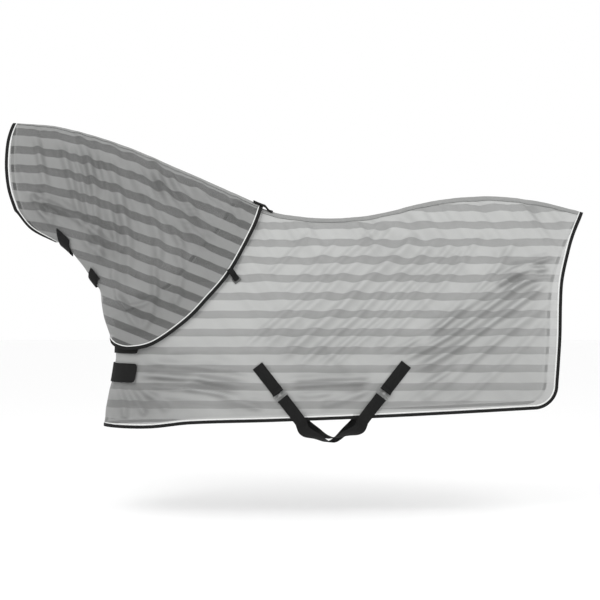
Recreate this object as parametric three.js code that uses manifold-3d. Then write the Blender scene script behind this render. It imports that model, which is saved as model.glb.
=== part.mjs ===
// A combo fly sheet for a horse: a striped mesh body sheet and a neck cover, held shut by hook-and-loop
// tabs and by two crossed belly straps. Millimetres, +X towards the tail, +Y to the off side, +Z up.
// The origin is on the underside of the sheet at the withers, where the horse's back carries it.
import * as THREE from "three";
import { mergeVertices } from "three/addons/utils/BufferGeometryUtils.js";
import Module from "manifold-3d";

const wasm = await Module();
wasm.setup();
const { lerp, clamp, degToRad, smoothstep } = THREE.MathUtils;

// ---- driving sizes ----
const BACK_LENGTH = 1361; // withers to the rear edge of the mesh
const FORE_LENGTH = 1050; // withers to the poll edge of the mesh
const DROP = 900; // withers to hem, measured straight down
const SHOULDER = 187; // half widths of the form that the sheet hangs on
const BARREL = 204;
const RUMP = 152;
const CHEST_DEPTH = 200; // how far the front rounds back from the breast to the side
const POLL = 82; // half widths of the neck cover
const NECK_BASE = 150;

const CLOTH = 1.6; // mesh thickness
const SEAM_GAP = 0.5; // between pieces that are sewn edge to edge
const PIPING_WIDTH = 4.5;
const PIPING_THICK = 2.4;
const BINDING_WIDTH = 14;
const BINDING_THICK = 3;
const TAPE_THICK = 1.4;
const SPINE_TAPE_REACH = 22; // how far the spine tape reaches down each side of the ridge
const NECK_EASE = 12; // the neck cover lies this far outside the body sheet
const CHEST_LAP = 9; // the near front lies this far outside the off front
const FACING_GAP = 2.2; // between the mesh and a facing inside it
const FACING_THICK = 0.8;
const FACING_START = 0.4; // share of the chest rounding that the facings leave free at the front

const STRAP_WIDTH = 50;
const STRAP_THICK = 2.4;
const PATCH_LENGTH = 132; // webbing patch that anchors a belly strap
const PATCH_THICK = 3;
const PATCH_SLOPE = degToRad(52); // below the horizontal
const RING_WIRE = 3.5;
const RING_HEIGHT = 16;
const HARDWARE_WIDTH = STRAP_WIDTH + 8; // rings, hooks and sliders outside the webbing
const HARDWARE_LIFT = 10; // middle of the rings above the form
const LOOP_RADIUS = 5.2; // outside of the webbing folded round a bar
const HOOK_FROM = RING_HEIGHT + 7.5; // strap frame of the hook, measured along the strap
const HOOK_TO = HOOK_FROM + 15;
const TURN_DROP = 24; // how far a strap rounds out where it turns under the belly
const BELLY_DROP = 984; // underside of the upper strap where the two cross
const STRAP_CROSSING = 17; // height between the two straps where they cross
const STRAIGHT_STRAP = 118; // strap lying flat on the side, down past the hem
const HEM_FLARE = 12; // how far its lower end stands off
const SLIDER_LENGTH = 24;
const SLIDER_PLACE = 46; // from the hook to the middle of the slider

const CHEST_TAB_HEIGHT = 80;
const UPPER_TAB_TOP = -552;
const LOWER_TAB_TOP = -658;
const LOOP_THICK = 1.2;
const THROAT_TAB_WIDTH = 0.08; // share of the lower edge of the neck cover
const THROAT_TAB_RISE = 0.125; // share of the way from the throat to the crest, on the sewn side
const THROAT_TAB_REACH = 0.26; // the same on the side where it closes
const SIDE_TAB_LENGTH = 57;
const SIDE_TAB_WIDTH = 24;
const WITHERS_STRAP_LENGTH = 84;
const TAB_THICK = 2;
const THROAT_LOOP_LIFT = 3.4; // of the loop patches and the tabs over the neck cover
const THROAT_TAB_LIFT = 8;
const SIDE_TAB_RISE = 11; // over the binding of the shoulder edge
const TAIL_PATCH = 60; // square patch inside the rear edge

// ---- finishes ----
function finish(color, roughness, metalness = 0) {
  return new THREE.MeshStandardMaterial({ color, roughness, metalness });
}
const mesh = finish(0xb4b4b1, 0.85);
const facing = finish(0xa8a8a5, 0.85);
const black = finish(0x1b1c1e, 0.8);
const webbing = finish(0x191a1c, 0.75);
const piping = finish(0xe4e4e2, 0.5);
const steel = finish(0xc8c8c6, 0.3, 1);

const sheet = new THREE.Group();
function add(name, geometry, material) {
  const piece = new THREE.Mesh(geometry, material);
  piece.name = name;
  sheet.add(piece);
  return piece;
}

// ---- outlines ----
// A smooth curve through [x, value] points in rising x, read as value(x). It stays level past its ends.
function profile(points) {
  const slopes = points.map((_, i) => {
    const a = points[Math.max(i - 1, 0)];
    const b = points[Math.min(i + 1, points.length - 1)];
    return (b[1] - a[1]) / (b[0] - a[0]);
  });
  return (x) => {
    let i = 0;
    while (i < points.length - 2 && x > points[i + 1][0]) i++;
    const [[x0, y0], [x1, y1]] = [points[i], points[i + 1]];
    const t = clamp((x - x0) / (x1 - x0), 0, 1);
    const bend = (x1 - x0) * (slopes[i] * t * (1 - t) ** 2 - slopes[i + 1] * t * t * (1 - t));
    return lerp(y0, y1, t * t * (3 - 2 * t)) + bend;
  };
}

// Outlines are shares: of the fore length ahead of the withers, of the back length behind them, and of the
// drop in z.
const along = (share) => share * (share < 0 ? FORE_LENGTH : BACK_LENGTH);
const heightAt = (points) => profile(points.map(([x, z]) => [along(x), z * DROP]));
const reachAt = (points) => profile(points.map(([x, z]) => [z * DROP, along(x)]));
const toPoint = ([x, z]) => new THREE.Vector2(along(x), z * DROP);
const outline = (points) => new THREE.SplineCurve(points.map(toPoint));

const ridge = heightAt([
  [-1, 0.392], [-0.828, 0.374], [-0.582, 0.292], [-0.336, 0.172], [-0.09, 0.046], [0, 0], [0.072, -0.03],
  [0.215, -0.048], [0.357, -0.029], [0.544, 0.036], [0.711, 0.058], [0.86, 0.037], [1, -0.012],
]);
const hem = heightAt([
  [-0.648, -1.011], [-0.443, -1.011], [-0.286, -0.992], [0.029, -0.98], [0.397, -0.958], [0.808, -0.927],
  [0.92, -0.918],
]);
const neckline = heightAt([
  [-0.61, -0.54], [-0.529, -0.498], [-0.424, -0.42], [-0.342, -0.358], [-0.252, -0.229], [-0.164, -0.106],
  [-0.09, 0.046],
]);
const breast = reachAt([
  [-0.637, -1.03], [-0.624, -0.911], [-0.603, -0.817], [-0.587, -0.659], [-0.6, -0.511],
]);
const tailEdge = reachAt([
  [0.903, -0.83], [0.912, -0.622], [0.915, -0.458], [0.921, -0.346], [0.939, -0.234], [0.964, -0.122],
  [1, -0.012],
]);
const NECKLINE_END = along(-0.09); // where the neckline reaches the ridge, under the neck cover
const FULL_WIDTH = 0.6; // share of the drop at which the form is widest
const RIDGE_ROUNDING = 0.7; // under 1 rounds the ridge, and lower is blunter
const HEM_TUCK = 0.035; // how much the hem draws in

const girth = profile([
  [along(-0.42), SHOULDER], [along(0.21), BARREL], [along(0.62), lerp(RUMP, BARREL, 0.8)], [along(1), RUMP],
]);
function halfWidth(x, z) {
  const depth = Math.max(0, (ridge(x) - z) / DROP);
  const round = Math.sin((Math.PI / 2) * Math.min(1, depth / FULL_WIDTH)) ** RIDGE_ROUNDING;
  return girth(x) * round * (1 - HEM_TUCK * smoothstep(depth, FULL_WIDTH + 0.15, 1));
}

// ---- cloth geometry ----
// One closed skin over a grid of { p, n } frames, between two heights along their normals.
function skin(rows, low, high) {
  const [nu, nv] = [rows.length, rows[0].length];
  const layer = (h) => rows.flat().map(({ p, n }) => p.clone().addScaledVector(n, h));
  const corners = [...layer(low), ...layer(high)];
  const id = (level, i, j) => (level * nu + i) * nv + j;
  const faces = [];
  const quad = (a, b, c, d) => faces.push(a, b, c, a, c, d);
  for (let i = 0; i < nu - 1; i++)
    for (let j = 0; j < nv - 1; j++) {
      quad(id(1, i, j), id(1, i + 1, j), id(1, i + 1, j + 1), id(1, i, j + 1));
      quad(id(0, i, j), id(0, i, j + 1), id(0, i + 1, j + 1), id(0, i + 1, j));
    }
  const rim = [];
  for (let i = 0; i < nu - 1; i++) rim.push([i, 0]);
  for (let j = 0; j < nv - 1; j++) rim.push([nu - 1, j]);
  for (let i = nu - 1; i > 0; i--) rim.push([i, nv - 1]);
  for (let j = nv - 1; j > 0; j--) rim.push([0, j]);
  rim.forEach(([i, j], k) => {
    const [m, n] = rim[(k + 1) % rim.length];
    quad(id(0, i, j), id(0, m, n), id(1, m, n), id(1, i, j));
  });
  return facingOut(corners, faces);
}

// The same faces, turned round if they enclose a negative volume.
function facingOut(corners, faces) {
  let volume = 0;
  for (let k = 0; k < faces.length; k += 3)
    volume += corners[faces[k]].dot(corners[faces[k + 1]].clone().cross(corners[faces[k + 2]]));
  const turned = volume < 0 ? faces.slice().reverse() : faces;
  const geometry = new THREE.BufferGeometry().setFromPoints(corners);
  geometry.setIndex(turned);
  return geometry;
}

// The point and outward normal of a surface(a, b) whose a runs to the tail and b down.
function frameOf(surface, a, b, side) {
  const step = 1e-3;
  const p = surface(a, b);
  const da = surface(a + step, b).sub(surface(a - step, b));
  const db = surface(a, b + step).sub(surface(a, b - step));
  return { p, n: da.cross(db).multiplyScalar(side).normalize() };
}

// Frames shifted sideways from an edge, to the side that out(tangent, normal) points to.
function beside(frames, offsets) {
  return frames.map(({ p, n }, i) => {
    const a = frames[Math.max(i - 1, 0)].p;
    const b = frames[Math.min(i + 1, frames.length - 1)].p;
    const out = b.clone().sub(a).cross(n).normalize();
    return offsets.map((o) => ({ p: p.clone().addScaledVector(out, o), n }));
  });
}

function trimEdge(name, frames, outward, material, from, width, thick) {
  const offsets = [from, from + width].map((o) => o * outward);
  const lift = (CLOTH - thick) / 2;
  add(name, skin(beside(frames, offsets), lift, lift + thick), material);
}

function bindEdge(name, frames, outward) {
  trimEdge(`${name}_piping`, frames, outward, piping, SEAM_GAP, PIPING_WIDTH, PIPING_THICK);
  const start = SEAM_GAP + PIPING_WIDTH + SEAM_GAP;
  trimEdge(`${name}_binding`, frames, outward, black, start, BINDING_WIDTH, BINDING_THICK);
}

const steps = (from, to, count) => Array.from({ length: count + 1 }, (_, i) => lerp(from, to, i / count));

// ---- body sheet ----
// q runs round one half of the sheet: 0 at its front edge, 1 at the side of the chest, 2 at the rear edge.
// v runs down it: 0 at the neckline or the ridge, 1 at the hem. side is -1 near and 1 off.
const LAP_ANGLE = degToRad(14); // how far each front passes the middle of the breast
const CENTRE_GAP = 1.6; // half the seam between the two halves at the ridge
const REAR_CORNER = 78; // radius of the rounded corners
const FRONT_CORNER = 50;

function chestAngle(q) {
  return lerp(-LAP_ANGLE, Math.PI / 2, q);
}

function onBody(q, z, side) {
  const back = breast(z) + CHEST_DEPTH;
  if (q >= 1) {
    const x = lerp(back, tailEdge(z), q - 1);
    return new THREE.Vector3(x, side * Math.max(CENTRE_GAP, halfWidth(x, z)), z);
  }
  const angle = chestAngle(q);
  const lap = side < 0 ? CHEST_LAP * (1 - smoothstep(q, 0.35, 1)) : 0;
  const x = back - (CHEST_DEPTH + lap) * Math.cos(angle);
  return new THREE.Vector3(x, side * (halfWidth(back, z) + lap) * Math.sin(angle), z);
}

// Distance round the sheet from its front edge or, when that is nearer, from its rear edge.
function fromFront(q) {
  return q < 1 ? (CHEST_DEPTH + SHOULDER) / 2 * (chestAngle(q) + LAP_ANGLE) : Infinity;
}
function cornerRise(distance, radius) {
  return distance >= radius ? 0 : radius - Math.sqrt(radius ** 2 - (radius - Math.max(0, distance)) ** 2);
}

function heightOfEdge(q, side, edge) {
  let z = -0.5 * DROP;
  for (let k = 0; k < 30; k++) z = lerp(z, edge(onBody(q, z, side).x), 0.6);
  return z;
}
const topOf = (x) => (x < NECKLINE_END ? neckline(x) : ridge(x));

function bodyPoint(side) {
  return (q, v) => {
    const inside = clamp(q, 0, 2);
    const top = heightOfEdge(inside, side, topOf) - cornerRise(fromFront(inside), FRONT_CORNER / 2);
    const low = heightOfEdge(inside, side, hem);
    const toRear = tailEdge(low) - onBody(inside, low, side).x;
    const rise =
      cornerRise(fromFront(inside), FRONT_CORNER) + cornerRise(inside < 1 ? Infinity : toRear, REAR_CORNER);
    return onBody(inside, lerp(top, low + rise, v), side);
  };
}

const sideOfChest = breast(0) + CHEST_DEPTH;
const NECKLINE_Q = 1 + (NECKLINE_END - sideOfChest) / (tailEdge(0) - sideOfChest); // where it meets the ridge
const CHEST_COLUMNS = [0, 0.05, 0.11, 0.2, 0.3, 0.4, 0.55, 0.7, 0.85, 1];
const SIDE_COLUMNS = [
  ...steps(1, NECKLINE_Q, 4).slice(1), ...steps(NECKLINE_Q, 1.9, 13).slice(1), 1.935, 1.96, 1.98, 1.992, 2,
];
const BODY_COLUMNS = [...CHEST_COLUMNS, ...SIDE_COLUMNS];
const BODY_ROWS = steps(0, 1, 10).map((v) => v ** 1.5);

// An edge that stops short of its last point, where the two halves meet.
function stopShort(frames, share) {
  const [a, b] = frames.slice(-2);
  return [...frames.slice(0, -1), { p: a.p.clone().lerp(b.p, share), n: a.n }];
}

// The rim of a body panel from the ridge round its neckline, front edge, hem and rear edge.
function bodyRim(grid) {
  const neckline = grid.slice(1, BODY_COLUMNS.indexOf(NECKLINE_Q) + 1).map((column) => column[0]);
  const hemline = grid.slice(1, -1).map((column) => column.at(-1));
  return [...stopShort(neckline, 0.6).reverse(), ...grid[0], ...hemline, ...grid.at(-1).slice().reverse()];
}

const bodyFrames = (side, columns, rows) =>
  columns.map((q) => rows.map((v) => frameOf(bodyPoint(side), clamp(q, 0.001, 1.999), v, side)));

for (const [hand, side] of [["left", -1], ["right", 1]]) {
  const grid = bodyFrames(side, BODY_COLUMNS, BODY_ROWS);
  add(`${hand}_body_panel`, skin(grid, 0, CLOTH), mesh);
  bindEdge(`${hand}_body`, bodyRim(grid), -side);
  const columns = CHEST_COLUMNS.filter((q) => q >= FACING_START);
  const behindFront = bodyFrames(side, columns, BODY_ROWS.slice(1, -1));
  add(`${hand}_chest_facing`, skin(behindFront, -FACING_GAP - FACING_THICK, -FACING_GAP), facing);
}

// A strip over both halves, given each half's frames(side, rows) and the rows that it reaches down to.
function bridge(name, frames, reach, low, high, material) {
  const [near, far] = [frames(-1, reach.slice().reverse()), frames(1, reach)];
  add(name, skin(near.map((column, i) => [...column, ...far[i]]), low, high), material);
}
const TAPE_LIFT = CLOTH + 0.6;
const spineColumns = BODY_COLUMNS.filter((q) => q >= NECKLINE_Q);
const spineReach = [0, 0.15, 0.5, 1].map((share) => (share * SPINE_TAPE_REACH) / DROP);
const spineFrames = (side, rows) => bodyFrames(side, spineColumns, rows);
bridge("spine_tape", spineFrames, spineReach, TAPE_LIFT, TAPE_LIFT + TAPE_THICK, facing);

// ---- neck cover ----
// u runs from the poll edge to the shoulder edge, v from the crest to the lower edge, which is open below
// the poll and closed along the throat.
const CREST_RISE = 13; // the crest clears the ridge and its tape
const CREST_END = -14; // the crest stops this far ahead of the withers
function crest(u) {
  const x = lerp(-FORE_LENGTH, CREST_END, u);
  return new THREE.Vector2(x, ridge(x) + CREST_RISE);
}
const OPEN_SHARE = 0.25; // of the lower edge, below the poll, where the bound poll edge runs on
const OPEN_SECTION = 0.6; // share of the closed section that the front edge reaches round
const lowerEdge = outline([
  [-0.985, -0.005], [-0.93, -0.088], [-0.822, -0.165], [-0.75, -0.243], [-0.692, -0.338], [-0.66, -0.392],
  [-0.654, -0.458], [-0.645, -0.52], [-0.622, -0.6],
]);
const pollEdge = outline([[-1, 0.4064], [-1.018, 0.315], [-1.022, 0.2], [-1.011, 0.09], [-0.985, -0.005]]);
const shoulderEdge = outline([
  [CREST_END / FORE_LENGTH, ridge(CREST_END) / DROP + CREST_RISE / DROP], [-0.045, -0.091], [-0.135, -0.293],
  [-0.225, -0.42], [-0.307, -0.518], [-0.429, -0.619], [-0.521, -0.646], [-0.584, -0.634], [-0.622, -0.6],
]);
const throatReach = reachAt([[-0.622, -0.6], [-0.645, -0.52], [-0.654, -0.458], [-0.66, -0.392], [-0.66, 0]]);

function shoulderWidth(x, z) {
  const back = throatReach(z) + CHEST_DEPTH;
  const round = x < back ? Math.sqrt(Math.max(0, 1 - ((back - x) / CHEST_DEPTH) ** 2)) : 1;
  return halfWidth(Math.max(x, back), z) * round;
}

function neckPoint(side) {
  return (uAny, vAny) => {
    const [u, v] = [clamp(uAny, 0, 1), clamp(vAny, 0, 1)];
    const [c, t] = [crest(u), lowerEdge.getPoint(u)];
    const [p, s] = [pollEdge.getPoint(v), shoulderEdge.getPoint(v)];
    const corners = [crest(0), crest(1), pollEdge.getPoint(1), shoulderEdge.getPoint(1)];
    const blend = (k) =>
      lerp(c[k], t[k], v) + lerp(p[k], s[k], u) -
      lerp(lerp(corners[0][k], corners[1][k], u), lerp(corners[2][k], corners[3][k], u), v);
    const [x, z] = [blend("x"), blend("y")];
    const round = v * lerp(OPEN_SECTION, 1, Math.min(1, u / OPEN_SHARE));
    const own = lerp(POLL, NECK_BASE, u) * Math.max(0, Math.sin(Math.PI * round ** 0.85)) ** RIDGE_ROUNDING;
    const under = z - CREST_RISE * (1 - smoothstep(v, 0, 0.5));
    const over = shoulderWidth(x, under) + NECK_EASE * smoothstep(v, 0, 0.06) * (1 - smoothstep(v, 0.94, 1));
    const y = lerp(own, over, smoothstep(u, 0.5, 0.8));
    return new THREE.Vector3(x, side * Math.max(CENTRE_GAP, y), z);
  };
}

const NECK_COLUMNS = steps(0, 1, 16);
const NECK_ROWS = steps(0, 1, 12).map((v) => v ** 1.35 * (1 - 0.04 * Math.sin(Math.PI * v)));
const inset = (t) => clamp(t, 0.001, 0.999);
const neckFrames = (side, columns, rows) =>
  columns.map((u) => rows.map((v) => frameOf(neckPoint(side), inset(u), inset(v), side)));
for (const [hand, side] of [["left", -1], ["right", 1]]) {
  const grid = neckFrames(side, NECK_COLUMNS, NECK_ROWS);
  add(`${hand}_neck_panel`, skin(grid, 0, CLOTH), mesh);
  const belowPoll = grid.slice(1, NECK_COLUMNS.indexOf(OPEN_SHARE) + 1).map((column) => column.at(-1));
  bindEdge(`${hand}_poll`, stopShort([...grid[0], ...belowPoll], 0.45), -side);
  bindEdge(`${hand}_shoulder`, stopShort(grid.at(-1), 0.45), side);
}
const crestReach = [0, 0.004, 0.014, 0.028];
const crestFrames = (side, rows) => neckFrames(side, NECK_COLUMNS, rows);
bridge("crest_tape", crestFrames, crestReach, TAPE_LIFT, TAPE_LIFT + TAPE_THICK, mesh);

// ---- flat pieces on the side of the body ----
function onSide(side, x, z) {
  const p = new THREE.Vector3(x, side * halfWidth(x, z), z);
  const dx = new THREE.Vector3(2, side * (halfWidth(x + 1, z) - halfWidth(x - 1, z)), 0);
  const dz = new THREE.Vector3(0, side * (halfWidth(x, z - 1) - halfWidth(x, z + 1)), -2);
  return { p, n: dx.cross(dz).multiplyScalar(side).normalize() };
}

// A rectangle on the body's side, its long way at slope below the horizontal, towards the tail if lean is 1.
function sidePatch(side, { x, z, slope, lean }, length, width, low) {
  return steps(-length / 2, length / 2, 4).map((a) =>
    steps(-width / 2, width / 2, 2).map((b) => {
      const dx = lean * (a * Math.cos(slope) + b * Math.sin(slope));
      const { p, n } = onSide(side, x + dx, z - a * Math.sin(slope) + b * Math.cos(slope));
      return { p: p.clone().addScaledVector(n, low(a)), n };
    }),
  );
}
const level = (lift) => () => lift;

// ---- belly strap anchors ----
const ON_CLOTH = CLOTH + 0.5;
const anchors = {
  front: { x: along(0.019), z: -0.798 * DROP, slope: PATCH_SLOPE, lean: 1 },
  rear: { x: along(0.416), z: -0.79 * DROP, slope: PATCH_SLOPE, lean: -1 },
};

// The frame at an anchor's lower end, in the middle of the ring wire: d along the strap, w across it and
// n outward.
function anchorFrame(place, side) {
  const { x, z, slope, lean } = anchors[place];
  const reach = PATCH_LENGTH / 2 + LOOP_RADIUS + 1;
  const { p, n } = onSide(side, x + lean * reach * Math.cos(slope), z - reach * Math.sin(slope));
  const d = new THREE.Vector3(lean * Math.cos(slope), 0, -Math.sin(slope));
  d.addScaledVector(n, -d.dot(n)).normalize();
  return { o: p.clone().addScaledVector(n, HARDWARE_LIFT), d, w: n.clone().cross(d), n };
}
const place = ({ o, d, w, n }) => new THREE.Matrix4().makeBasis(d, w, n).setPosition(o);

function solidOf(geometry) {
  const bare = geometry.index ? geometry.toNonIndexed() : geometry.clone();
  for (const key of ["normal", "uv"]) bare.deleteAttribute(key);
  const merged = mergeVertices(bare, 1e-3);
  const vertProperties = merged.attributes.position.array;
  const triVerts = new Uint32Array(merged.index.array);
  return new wasm.Manifold(new wasm.Mesh({ numProp: 3, vertProperties, triVerts }));
}
function geometryOf(solid) {
  const { vertProperties, triVerts } = solid.getMesh();
  const geometry = new THREE.BufferGeometry();
  geometry.setAttribute("position", new THREE.BufferAttribute(vertProperties, 3));
  return geometry.setIndex(new THREE.BufferAttribute(triVerts, 1));
}
const join = (...parts) => parts.map(solidOf).reduce((a, b) => a.add(b));

// Local pieces of the hardware: d is x, w is y, n is z.
const block = (dx, wy, nz, x, y, z) => new THREE.BoxGeometry(dx, wy, nz).translate(x, y, z);
const rod = (r, length, x, z) => new THREE.CylinderGeometry(r, r, length, 10).translate(x, 0, z);
function wireFrame(from, to) {
  const [half, wire] = [HARDWARE_WIDTH / 2 - RING_WIRE / 2, RING_WIRE / 2];
  const middle = (from + to) / 2;
  const ends = [-1, 1].map((k) => block(to - from + RING_WIRE, RING_WIRE, RING_WIRE, middle, k * half, 0));
  const bars = [from, to].map((x) => new THREE.CylinderGeometry(wire, wire, 2 * half, 10).translate(x, 0, 0));
  return join(...ends, ...bars);
}

// A webbing end folded round a bar at d = at, joined to a tail that starts on the side that way points to.
function foldedEnd(at, way) {
  const outer = rod(LOOP_RADIUS, STRAP_WIDTH, at, 0);
  const tail = block(LOOP_RADIUS + 4, STRAP_WIDTH, STRAP_THICK, at + (way * (LOOP_RADIUS + 4)) / 2, 0, 0);
  return join(outer, tail).subtract(solidOf(rod(LOOP_RADIUS - STRAP_THICK / 2, STRAP_WIDTH + 20, at, 0)));
}

function anchorPatch(name, key, side) {
  const at = place(anchorFrame(key, side));
  const rows = sidePatch(side, anchors[key], PATCH_LENGTH, STRAP_WIDTH, level(ON_CLOTH));
  const low = ON_CLOTH + 2 - HARDWARE_LIFT;
  const neck = block(LOOP_RADIUS + 8, STRAP_WIDTH, PATCH_THICK, -LOOP_RADIUS - 2, 0, low).applyMatrix4(at);
  const loop = rod(LOOP_RADIUS, STRAP_WIDTH, 0, 0).applyMatrix4(at);
  const outer = join(skin(rows, 0, PATCH_THICK), neck, loop);
  const hole = rod(LOOP_RADIUS - STRAP_THICK / 2, STRAP_WIDTH + 20, 0, 0).applyMatrix4(at);
  add(name, geometryOf(outer.subtract(solidOf(hole))), webbing);
}

function placed(name, solid, frame, material) {
  add(name, geometryOf(solid).applyMatrix4(place(frame)), material);
}

// A T-hook: its bar sits behind the ring's far bar, and its shank passes over that bar to the strap frame.
function hook() {
  const bar = rod(RING_WIRE / 2, 36, RING_HEIGHT - 5.6, -4);
  const shank = block(3, 14, 9, RING_HEIGHT - 5.6, 0, 0.4);
  const over = block(14, 14, 2, RING_HEIGHT + 0.5, 0, 4);
  const down = block(3, 14, 5.8, RING_HEIGHT + 6.2, 0, 2.1);
  return join(bar, shank, over, down).add(wireFrame(HOOK_FROM, HOOK_TO));
}

// ---- belly straps ----
// Each runs from the near hook down its side, turns under the belly across the other strap, and goes up to
// the far ring.
function beltCurve(start, end, sag) {
  const pastSlider = HOOK_TO + SLIDER_PLACE + SLIDER_LENGTH;
  const run = ({ o, d, n }, distance) => {
    const flare = HEM_FLARE * smoothstep(distance, pastSlider, HOOK_TO + STRAIGHT_STRAP);
    return o.clone().addScaledVector(d, distance).addScaledVector(n, flare);
  };
  const bottom = start.o.clone().lerp(end.o, 0.5).setZ(-sag);
  const side = (frame, first) => {
    const straight = [first, ...[0.4, 0.6, 0.8, 1].map((share) => HOOK_TO + STRAIGHT_STRAP * share)];
    const last = run(frame, HOOK_TO + STRAIGHT_STRAP);
    const turn = last.clone().lerp(bottom, 0.1).add(new THREE.Vector3(0, 0, -TURN_DROP));
    const under = last.clone().lerp(bottom, 0.5).add(new THREE.Vector3(0, 0, -TURN_DROP * 0.8));
    return [...straight.map((k) => run(frame, k)), turn, under];
  };
  const gather = LOOP_RADIUS + 3;
  const near = side(start, HOOK_TO + gather);
  const far = side(end, RING_HEIGHT + gather).reverse();
  return new THREE.CatmullRomCurve3([...near, bottom, ...far]);
}

function bellyStrap(name, from, to, sag) {
  const [start, end] = [anchorFrame(from, -1), anchorFrame(to, 1)];
  const curve = beltCurve(start, end, sag);
  const crossways = end.o.clone().sub(start.o).setZ(0).normalize().cross(new THREE.Vector3(0, 0, 1));
  const count = 40;
  const rows = curve.getSpacedPoints(count).map((p, i) => {
    const t = curve.getTangentAt(i / count);
    const s = (2 * i) / count - 1;
    const flat = s < 0 ? start.w : end.w.clone().negate();
    const w = crossways.clone().lerp(flat, smoothstep(Math.abs(s), 0.12, 0.62));
    w.addScaledVector(t, -w.dot(t)).normalize();
    const n = w.clone().cross(t);
    return [-1, 1].map((k) => ({ p: p.clone().addScaledVector(w, (k * STRAP_WIDTH) / 2), n }));
  });
  const band = solidOf(skin(rows, -STRAP_THICK / 2, STRAP_THICK / 2));
  const endLoop = (frame, at) => solidOf(geometryOf(foldedEnd(at, 1)).applyMatrix4(place(frame)));
  add(name, geometryOf(band.add(endLoop(start, HOOK_TO)).add(endLoop(end, RING_HEIGHT))), webbing);
}

function slider(name, frame) {
  const at = HOOK_TO + SLIDER_PLACE;
  const rim = block(SLIDER_LENGTH, HARDWARE_WIDTH, STRAP_THICK + 5.4, at, 0, 0);
  const slot = block(SLIDER_LENGTH + 10, STRAP_WIDTH + 2.4, STRAP_THICK + 2.6, at, 0, 0);
  placed(name, solidOf(rim).subtract(solidOf(slot)), frame, steel);
}

for (const key of ["front", "rear"]) {
  for (const [hand, side] of [["near", -1], ["far", 1]]) {
    anchorPatch(`${key}_${hand}_anchor`, key, side);
    placed(`${key}_${hand}_ring`, wireFrame(0, RING_HEIGHT), anchorFrame(key, side), steel);
  }
  placed(`${key}_strap_hook`, hook(), anchorFrame(key, -1), steel);
  slider(`${key}_strap_slider`, anchorFrame(key === "front" ? "rear" : "front", 1));
}
bellyStrap("front_belly_strap", "front", "rear", BELLY_DROP + STRAP_CROSSING);
bellyStrap("rear_belly_strap", "rear", "front", BELLY_DROP);

// ---- closures ----
// The breast from the far front to the near front, by angle round the chest and share of the drop.
function chestBand(from, to, top, height, lift) {
  return steps(from, to, Math.round((to - from) / CHEST_STEP)).map((angle) =>
    [0, 0.5, 1].map((v) => {
      const z = top - v * height;
      const back = breast(z) + CHEST_DEPTH;
      const n = new THREE.Vector3(-Math.cos(angle), -Math.sin(angle), 0);
      const reach = CHEST_LAP + lift;
      const x = back - (CHEST_DEPTH + reach) * Math.cos(angle);
      return { p: new THREE.Vector3(x, -(halfWidth(back, z) + reach) * Math.sin(angle), z), n };
    }),
  );
}
const CHEST_STEP = degToRad(4.7);
const chestTab = (top, height, lift, from, to, thick, name, material) =>
  add(name, skin(chestBand(degToRad(from), degToRad(to), top, height, lift), 0, thick), material);
const TAB_LIFT = 5.5; // over the binding of the near front edge
chestTab(UPPER_TAB_TOP, CHEST_TAB_HEIGHT * 0.8, TAB_LIFT, -34, 62, TAB_THICK, "upper_chest_tab", black);
chestTab(LOWER_TAB_TOP, CHEST_TAB_HEIGHT, TAB_LIFT, -34, 63, TAB_THICK, "lower_chest_tab", black);
const [loopTop, loopHeight] = [LOWER_TAB_TOP - 4, CHEST_TAB_HEIGHT - 8];
chestTab(loopTop, loopHeight, ON_CLOTH, 22, 58, LOOP_THICK, "lower_chest_loop_patch", facing);

const THROAT_TURN = 0.985; // where a throat tab crosses from one half to the other
// Throat tabs wrap the throat from the far side to the near side, at a place along the lower edge.
function throatFrames(side, at, width, rows) {
  const columns = steps(at - width / 2, at + width / 2, 2);
  return columns.map((u) => rows.map((v) => frameOf(neckPoint(side), u, v, side)));
}
for (const [key, at] of [["upper", 0.3], ["lower", 0.53]]) {
  const near = throatFrames(-1, at, THROAT_TAB_WIDTH, steps(1 - THROAT_TAB_REACH, THROAT_TURN, 8));
  const far = throatFrames(1, at, THROAT_TAB_WIDTH, steps(THROAT_TURN, 1 - THROAT_TAB_RISE, 3));
  const tab = near.map((column, i) => [...column, ...far[i]]);
  add(`${key}_throat_tab`, skin(tab, THROAT_TAB_LIFT, THROAT_TAB_LIFT + TAB_THICK), black);
  const loopRows = steps(1 - THROAT_TAB_REACH, 1 - THROAT_TAB_REACH / 2, 4);
  const under = throatFrames(-1, at, THROAT_TAB_WIDTH * 0.8, loopRows);
  add(`${key}_throat_loop_patch`, skin(under, THROAT_LOOP_LIFT, THROAT_LOOP_LIFT + LOOP_THICK), facing);
}

// The tabs at the neck cover's shoulder edge come down onto loop patches on the body sheet.
const sideTab = { x: along(-0.112), z: -0.319 * DROP, slope: degToRad(50), lean: 1 };
const landing = { ...sideTab, x: sideTab.x + 14, z: sideTab.z - 18 };
for (const [hand, side] of [["left", -1], ["right", 1]]) {
  const high = NECK_EASE + SIDE_TAB_RISE;
  const lift = (a) => lerp(high, ON_CLOTH + LOOP_THICK + 1.4, smoothstep(a, -8, SIDE_TAB_LENGTH * 0.36));
  const strip = sidePatch(side, sideTab, SIDE_TAB_LENGTH, SIDE_TAB_WIDTH, lift);
  add(`${hand}_side_tab`, skin(strip, 0, TAB_THICK), black);
  const loop = sidePatch(side, landing, SIDE_TAB_LENGTH * 0.5, SIDE_TAB_WIDTH + 8, level(ON_CLOTH));
  add(`${hand}_side_loop_patch`, skin(loop, 0, LOOP_THICK), facing);
}

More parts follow.
